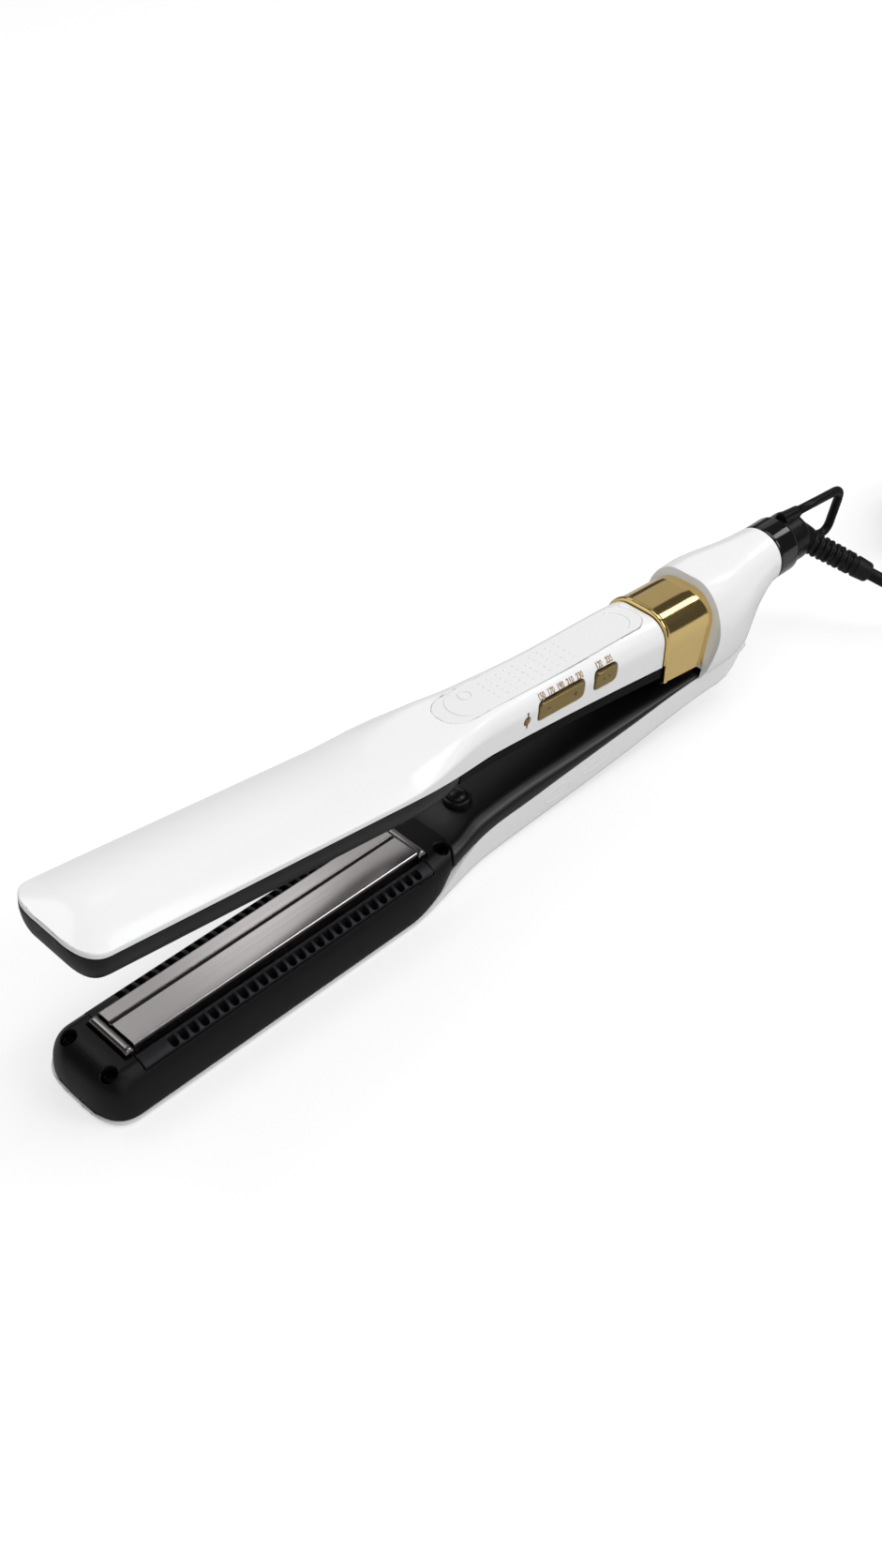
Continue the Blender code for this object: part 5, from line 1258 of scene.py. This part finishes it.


# Cord tie. A flat rubber strap round the whole bundle of the coil, with rounded corners.
tie_angle = coil_entry + math.radians(100.0)
tie_out, tie_side = polar(1.0, tie_angle), polar(1.0, tie_angle + math.pi / 2)
tie_inner = coil_radius - coil_step * coil_turns - cord_radius - 1.3
tie_outer = coil_radius + cord_radius + 1.3
tie_low, tie_high = coil_base - cord_radius - 0.9, coil_top + cord_radius + 0.9
tie_path = rounded((tie_outer - tie_inner) / 2, tie_low, tie_high, (2.2, 2.2), (2.2, 2.2), 6)
rings = []
for index, (reach, z) in enumerate(tie_path):
    before, after = tie_path[index - 1], tie_path[(index + 1) % len(tie_path)]
    way = Vector((after[0] - before[0], after[1] - before[1])).normalized()
    row = []
    for u, v in rounded(2.0, -0.5, 0.5, (0.35, 0.35), (0.35, 0.35), 3):
        out = (tie_inner + tie_outer) / 2 + reach + way.y * v
        row.append(at(*(coil_centre + tie_out * out + tie_side * u + Vector((0, 0, z - way.x * v)))))
    rings.append(row)
tie = lofted("tie", rings, True)
soften(tie, 0.05)
fit(tie, black_rubber, "cord_swivel", "black_rubber", "cord_tie")


# Plug. A flat two-blade plug moulded on the cord in black rubber, with a waisted neck, finger grooves on
# its flanks and two blades of folded brass, nickel plated, each with a locking hole.
plug_length, plug_half, blade_length, blade_apart = 26.0, 12.0, 17.0, 6.35
grip_start, grip_length, grip_waves, grip_depth = 13.0, 9.0, 4, 0.4
plug_side = Vector((-plug_way.y, plug_way.x, 0.0))


def on_plug(reach, u, v):
    return at(*(plug_start + plug_way * reach + plug_side * u + Vector((0, 0, v))))


rings = []
for reach in between(0, plug_length, 52):
    half = flowing(reach, (0.0, 4.2), (6.0, 4.5), (9.5, plug_half * 0.72), (14.0, plug_half),
                   (plug_length - 3, plug_half), (plug_length, plug_half - 1.4))
    thick = plug_thickness / 2
    tall = flowing(reach, (0.0, 4.2), (6.0, 4.4), (9.5, thick - 0.4), (14.0, thick),
                   (plug_length - 3, thick), (plug_length, thick - 1.2))
    if grip_start < reach < grip_start + grip_length:
        wave = (reach - grip_start) / grip_length * 2 * grip_waves * math.pi
        half -= grip_depth * (0.5 - 0.5 * math.cos(wave))
    corner = tall * 0.8, tall * 0.8
    rings.append([on_plug(reach, u, v) for u, v in rounded(half, -tall, tall, corner, corner, 8)])
plug = lofted("plug", rings)
soften(plug, 0.3)
fit(plug, black_rubber, "cord_swivel", "black_rubber", "plug_body")
for name, sign in (("near", -1), ("far", 1)):
    rings = []
    root = plug_length + seam
    tip = root + blade_length
    steps = ((root, 0.75, 3.2), (tip - 1.5, 0.75, 3.2), (tip - 0.5, 0.6, 2.9), (tip, 0.4, 2.3))
    for reach, thin, tall in steps:
        outline = [(-thin, -tall), (thin, -tall), (thin, tall), (-thin, tall)]
        rings.append([on_plug(reach, sign * blade_apart + u, v) for u, v in outline])
    blade = lofted("blade_" + name, rings)
    hole_place = on_plug(tip - 4.5, sign * blade_apart, 0.0)
    hole = turned("blade_hole", [(-2, 1.5), (2, 1.5)], hole_place, plug_side, 20)
    combine(blade, 'DIFFERENCE', hole)
    soften(blade, 0.12)
    fit(blade, steel, "cord_swivel", "steel", "plug_pin_" + name)


# Plate cushions. Waisted pads of red silicone, two behind each plate, that give a little when the plates
# meet.
silicone = moulding("silicone", (0.50, 0.14, 0.09), roughness=0.58, tone=0.25, spread=0.12, grain=1600.0,
                    depth=0.2)
cushion_height, cushion_radius = 3.3, 4.8
cushion_profile = [(0.0, cushion_radius - 0.3), (0.3, cushion_radius),
                   (cushion_height / 2, cushion_radius - 0.6),
                   (cushion_height - 0.3, cushion_radius), (cushion_height, cushion_radius - 0.3)]
for side, base, up in (("lower", 1.6, 1), ("upper", 33.1, -1)):
    for end, x in (("front", 39.5), ("rear", 97.5)):
        name = f"{side}_plate_cushion_{end}"
        foot, press = at(x, 0.0, base), Vector((0, 0, up))
        cushion = turned(side + "_pad_" + end, cushion_profile, foot, press, 32)
        if side == "upper":
            cushion.data.transform(opened)
            foot, press = opened @ foot, opened.to_3x3() @ press
        fit(cushion, silicone, side + "_arm", "silicone", name)
        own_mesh(cushion)


# Heater stacks and electronics. Ceramic heaters clamped in their carriers behind the plates, and the board
# with its switches screwed down behind the keys. All are closed in, so their plain solids are kept.
ceramic = moulding("ceramic", (0.74, 0.71, 0.64), roughness=0.62, tone=0.3, spread=0.15, grain=1400.0,
                   depth=0.3)
board_green = moulding("board_green", (0.03, 0.15, 0.07), roughness=0.42, tone=0.3, spread=0.15,
                       grain=2000.0, depth=0.15)
for side in ("lower", "upper"):
    finish_solid(side + "_heater", ceramic)
    finish_solid(side + "_plate_carrier", ceramic)
finish_solid("control_board", board_green)
for key in ("cooler", "hotter", "power"):
    finish_solid("key_switch_" + key, black_moulding)


# Studio. A white floor under one large soft lamp overhead and a weak fill from the front, with pale cards
# set round the tool so that the plates, the gold and the black edges each have something to mirror.
scene = bpy.context.scene
scene.view_settings.view_transform = 'Standard'


def lamp(name, place, target, size, power):
    data = bpy.data.lights.new(name, 'AREA')
    data.shape = 'DISK'
    data.size = size
    data.energy = power
    made = bpy.data.objects.new(name, data)
    scene.collection.objects.link(made)
    made.location = place
    made.rotation_euler = (Vector(target) - Vector(place)).to_track_quat('-Z', 'Y').to_euler()


middle = (0.0, 0.0, 0.02)
lamp("key_lamp", (0.35, -0.1, 1.2), middle, 0.9, 4.2)
lamp("fill_lamp", (-0.3, -0.9, 0.6), middle, 1.0, 1.5)
lamp("plate_card", (0.40, 0.67, 0.88), (-0.1, 0.0, 0.017), 0.7, 0.42)
lamp("plate_glint", (0.41, 0.70, 0.86), (-0.1, 0.0, 0.017), 0.15, 0.045)
lamp("nose_card", (-0.1, 0.77, 0.89), (-0.16, 0.0, 0.014), 0.5, 1.2)
lamp("band_top_card", (1.0, 0.59, 0.5), (0.07, 0.0, 0.045), 0.5, 0.2)
lamp("band_card", (1.0, -0.22, 0.78), (0.07, 0.0, 0.045), 0.3, 0.7)
lamp("side_card", (0.55, -0.72, 0.75), (-0.05, 0.0, 0.02), 0.5, 2.6)

world = bpy.data.worlds.new("studio")
scene.world = world
world.use_nodes = True
nodes, links = world.node_tree.nodes, world.node_tree.links
nodes.clear()


def plain_sky(strength):
    made = nodes.new("ShaderNodeBackground")
    made.inputs["Color"].default_value = (1, 1, 1, 1)
    made.inputs["Strength"].default_value = strength
    return made.outputs[0]


def chosen(ray, others, seen):
    """One sky for the rays of a kind, and another for all others."""
    made = nodes.new("ShaderNodeMixShader")
    for socket, source in zip(made.inputs, (ray, others, seen)):
        links.new(source, socket)
    return made.outputs[0]


# The camera sees plain white, and gloss mirrors a dim room in which the cards stand out.
path = nodes.new("ShaderNodeLightPath")
sky = chosen(path.outputs["Is Glossy Ray"], plain_sky(0.58), plain_sky(0.07))
sky = chosen(path.outputs["Is Camera Ray"], sky, plain_sky(1.0))
out = nodes.new("ShaderNodeOutputWorld")
links.new(sky, out.inputs["Surface"])

floor_reach, floor_height = 4, -0.0002
floor_mesh = bpy.data.meshes.new("floor")
floor_corners = [(u * floor_reach, v * floor_reach, floor_height)
                 for u, v in ((-1, -1), (1, -1), (1, 1), (-1, 1))]
floor_mesh.from_pydata(floor_corners, [], [(0, 1, 2, 3)])
floor = bpy.data.objects.new("floor", floor_mesh)
scene.collection.objects.link(floor)
floor_white = bpy.data.materials.new("floor_white")
floor_white.use_nodes = True
nodes, links = floor_white.node_tree.nodes, floor_white.node_tree.links
shader = nodes["Principled BSDF"]
shader.inputs["Base Color"].default_value = (0.5, 0.5, 0.5, 1)
shader.inputs["Roughness"].default_value = 0.9
shader.inputs["Specular IOR Level"].default_value = 0.0
shader.inputs["Emission Color"].default_value = (1, 1, 1, 1)
path = nodes.new("ShaderNodeLightPath")
lift = nodes.new("ShaderNodeMath")
lift.operation = 'MULTIPLY'
lift.inputs[1].default_value = 0.53
links.new(path.outputs["Is Camera Ray"], lift.inputs[0])
links.new(lift.outputs[0], shader.inputs["Emission Strength"])
floor.data.materials.append(floor_white)

camera_data = bpy.data.cameras.new("camera")
camera_data.lens = 41.829
camera_data.sensor_width = 36.0
camera_data.clip_start = 0.01
camera = bpy.data.objects.new("camera", camera_data)
scene.collection.objects.link(camera)
camera.location = (-0.31816, -0.2919, 0.3890)
aim = Vector((-0.029978, 0.0, 0.02855))
camera.rotation_euler = (aim - camera.location).to_track_quat('-Z', 'Y').to_euler()
scene.camera = camera
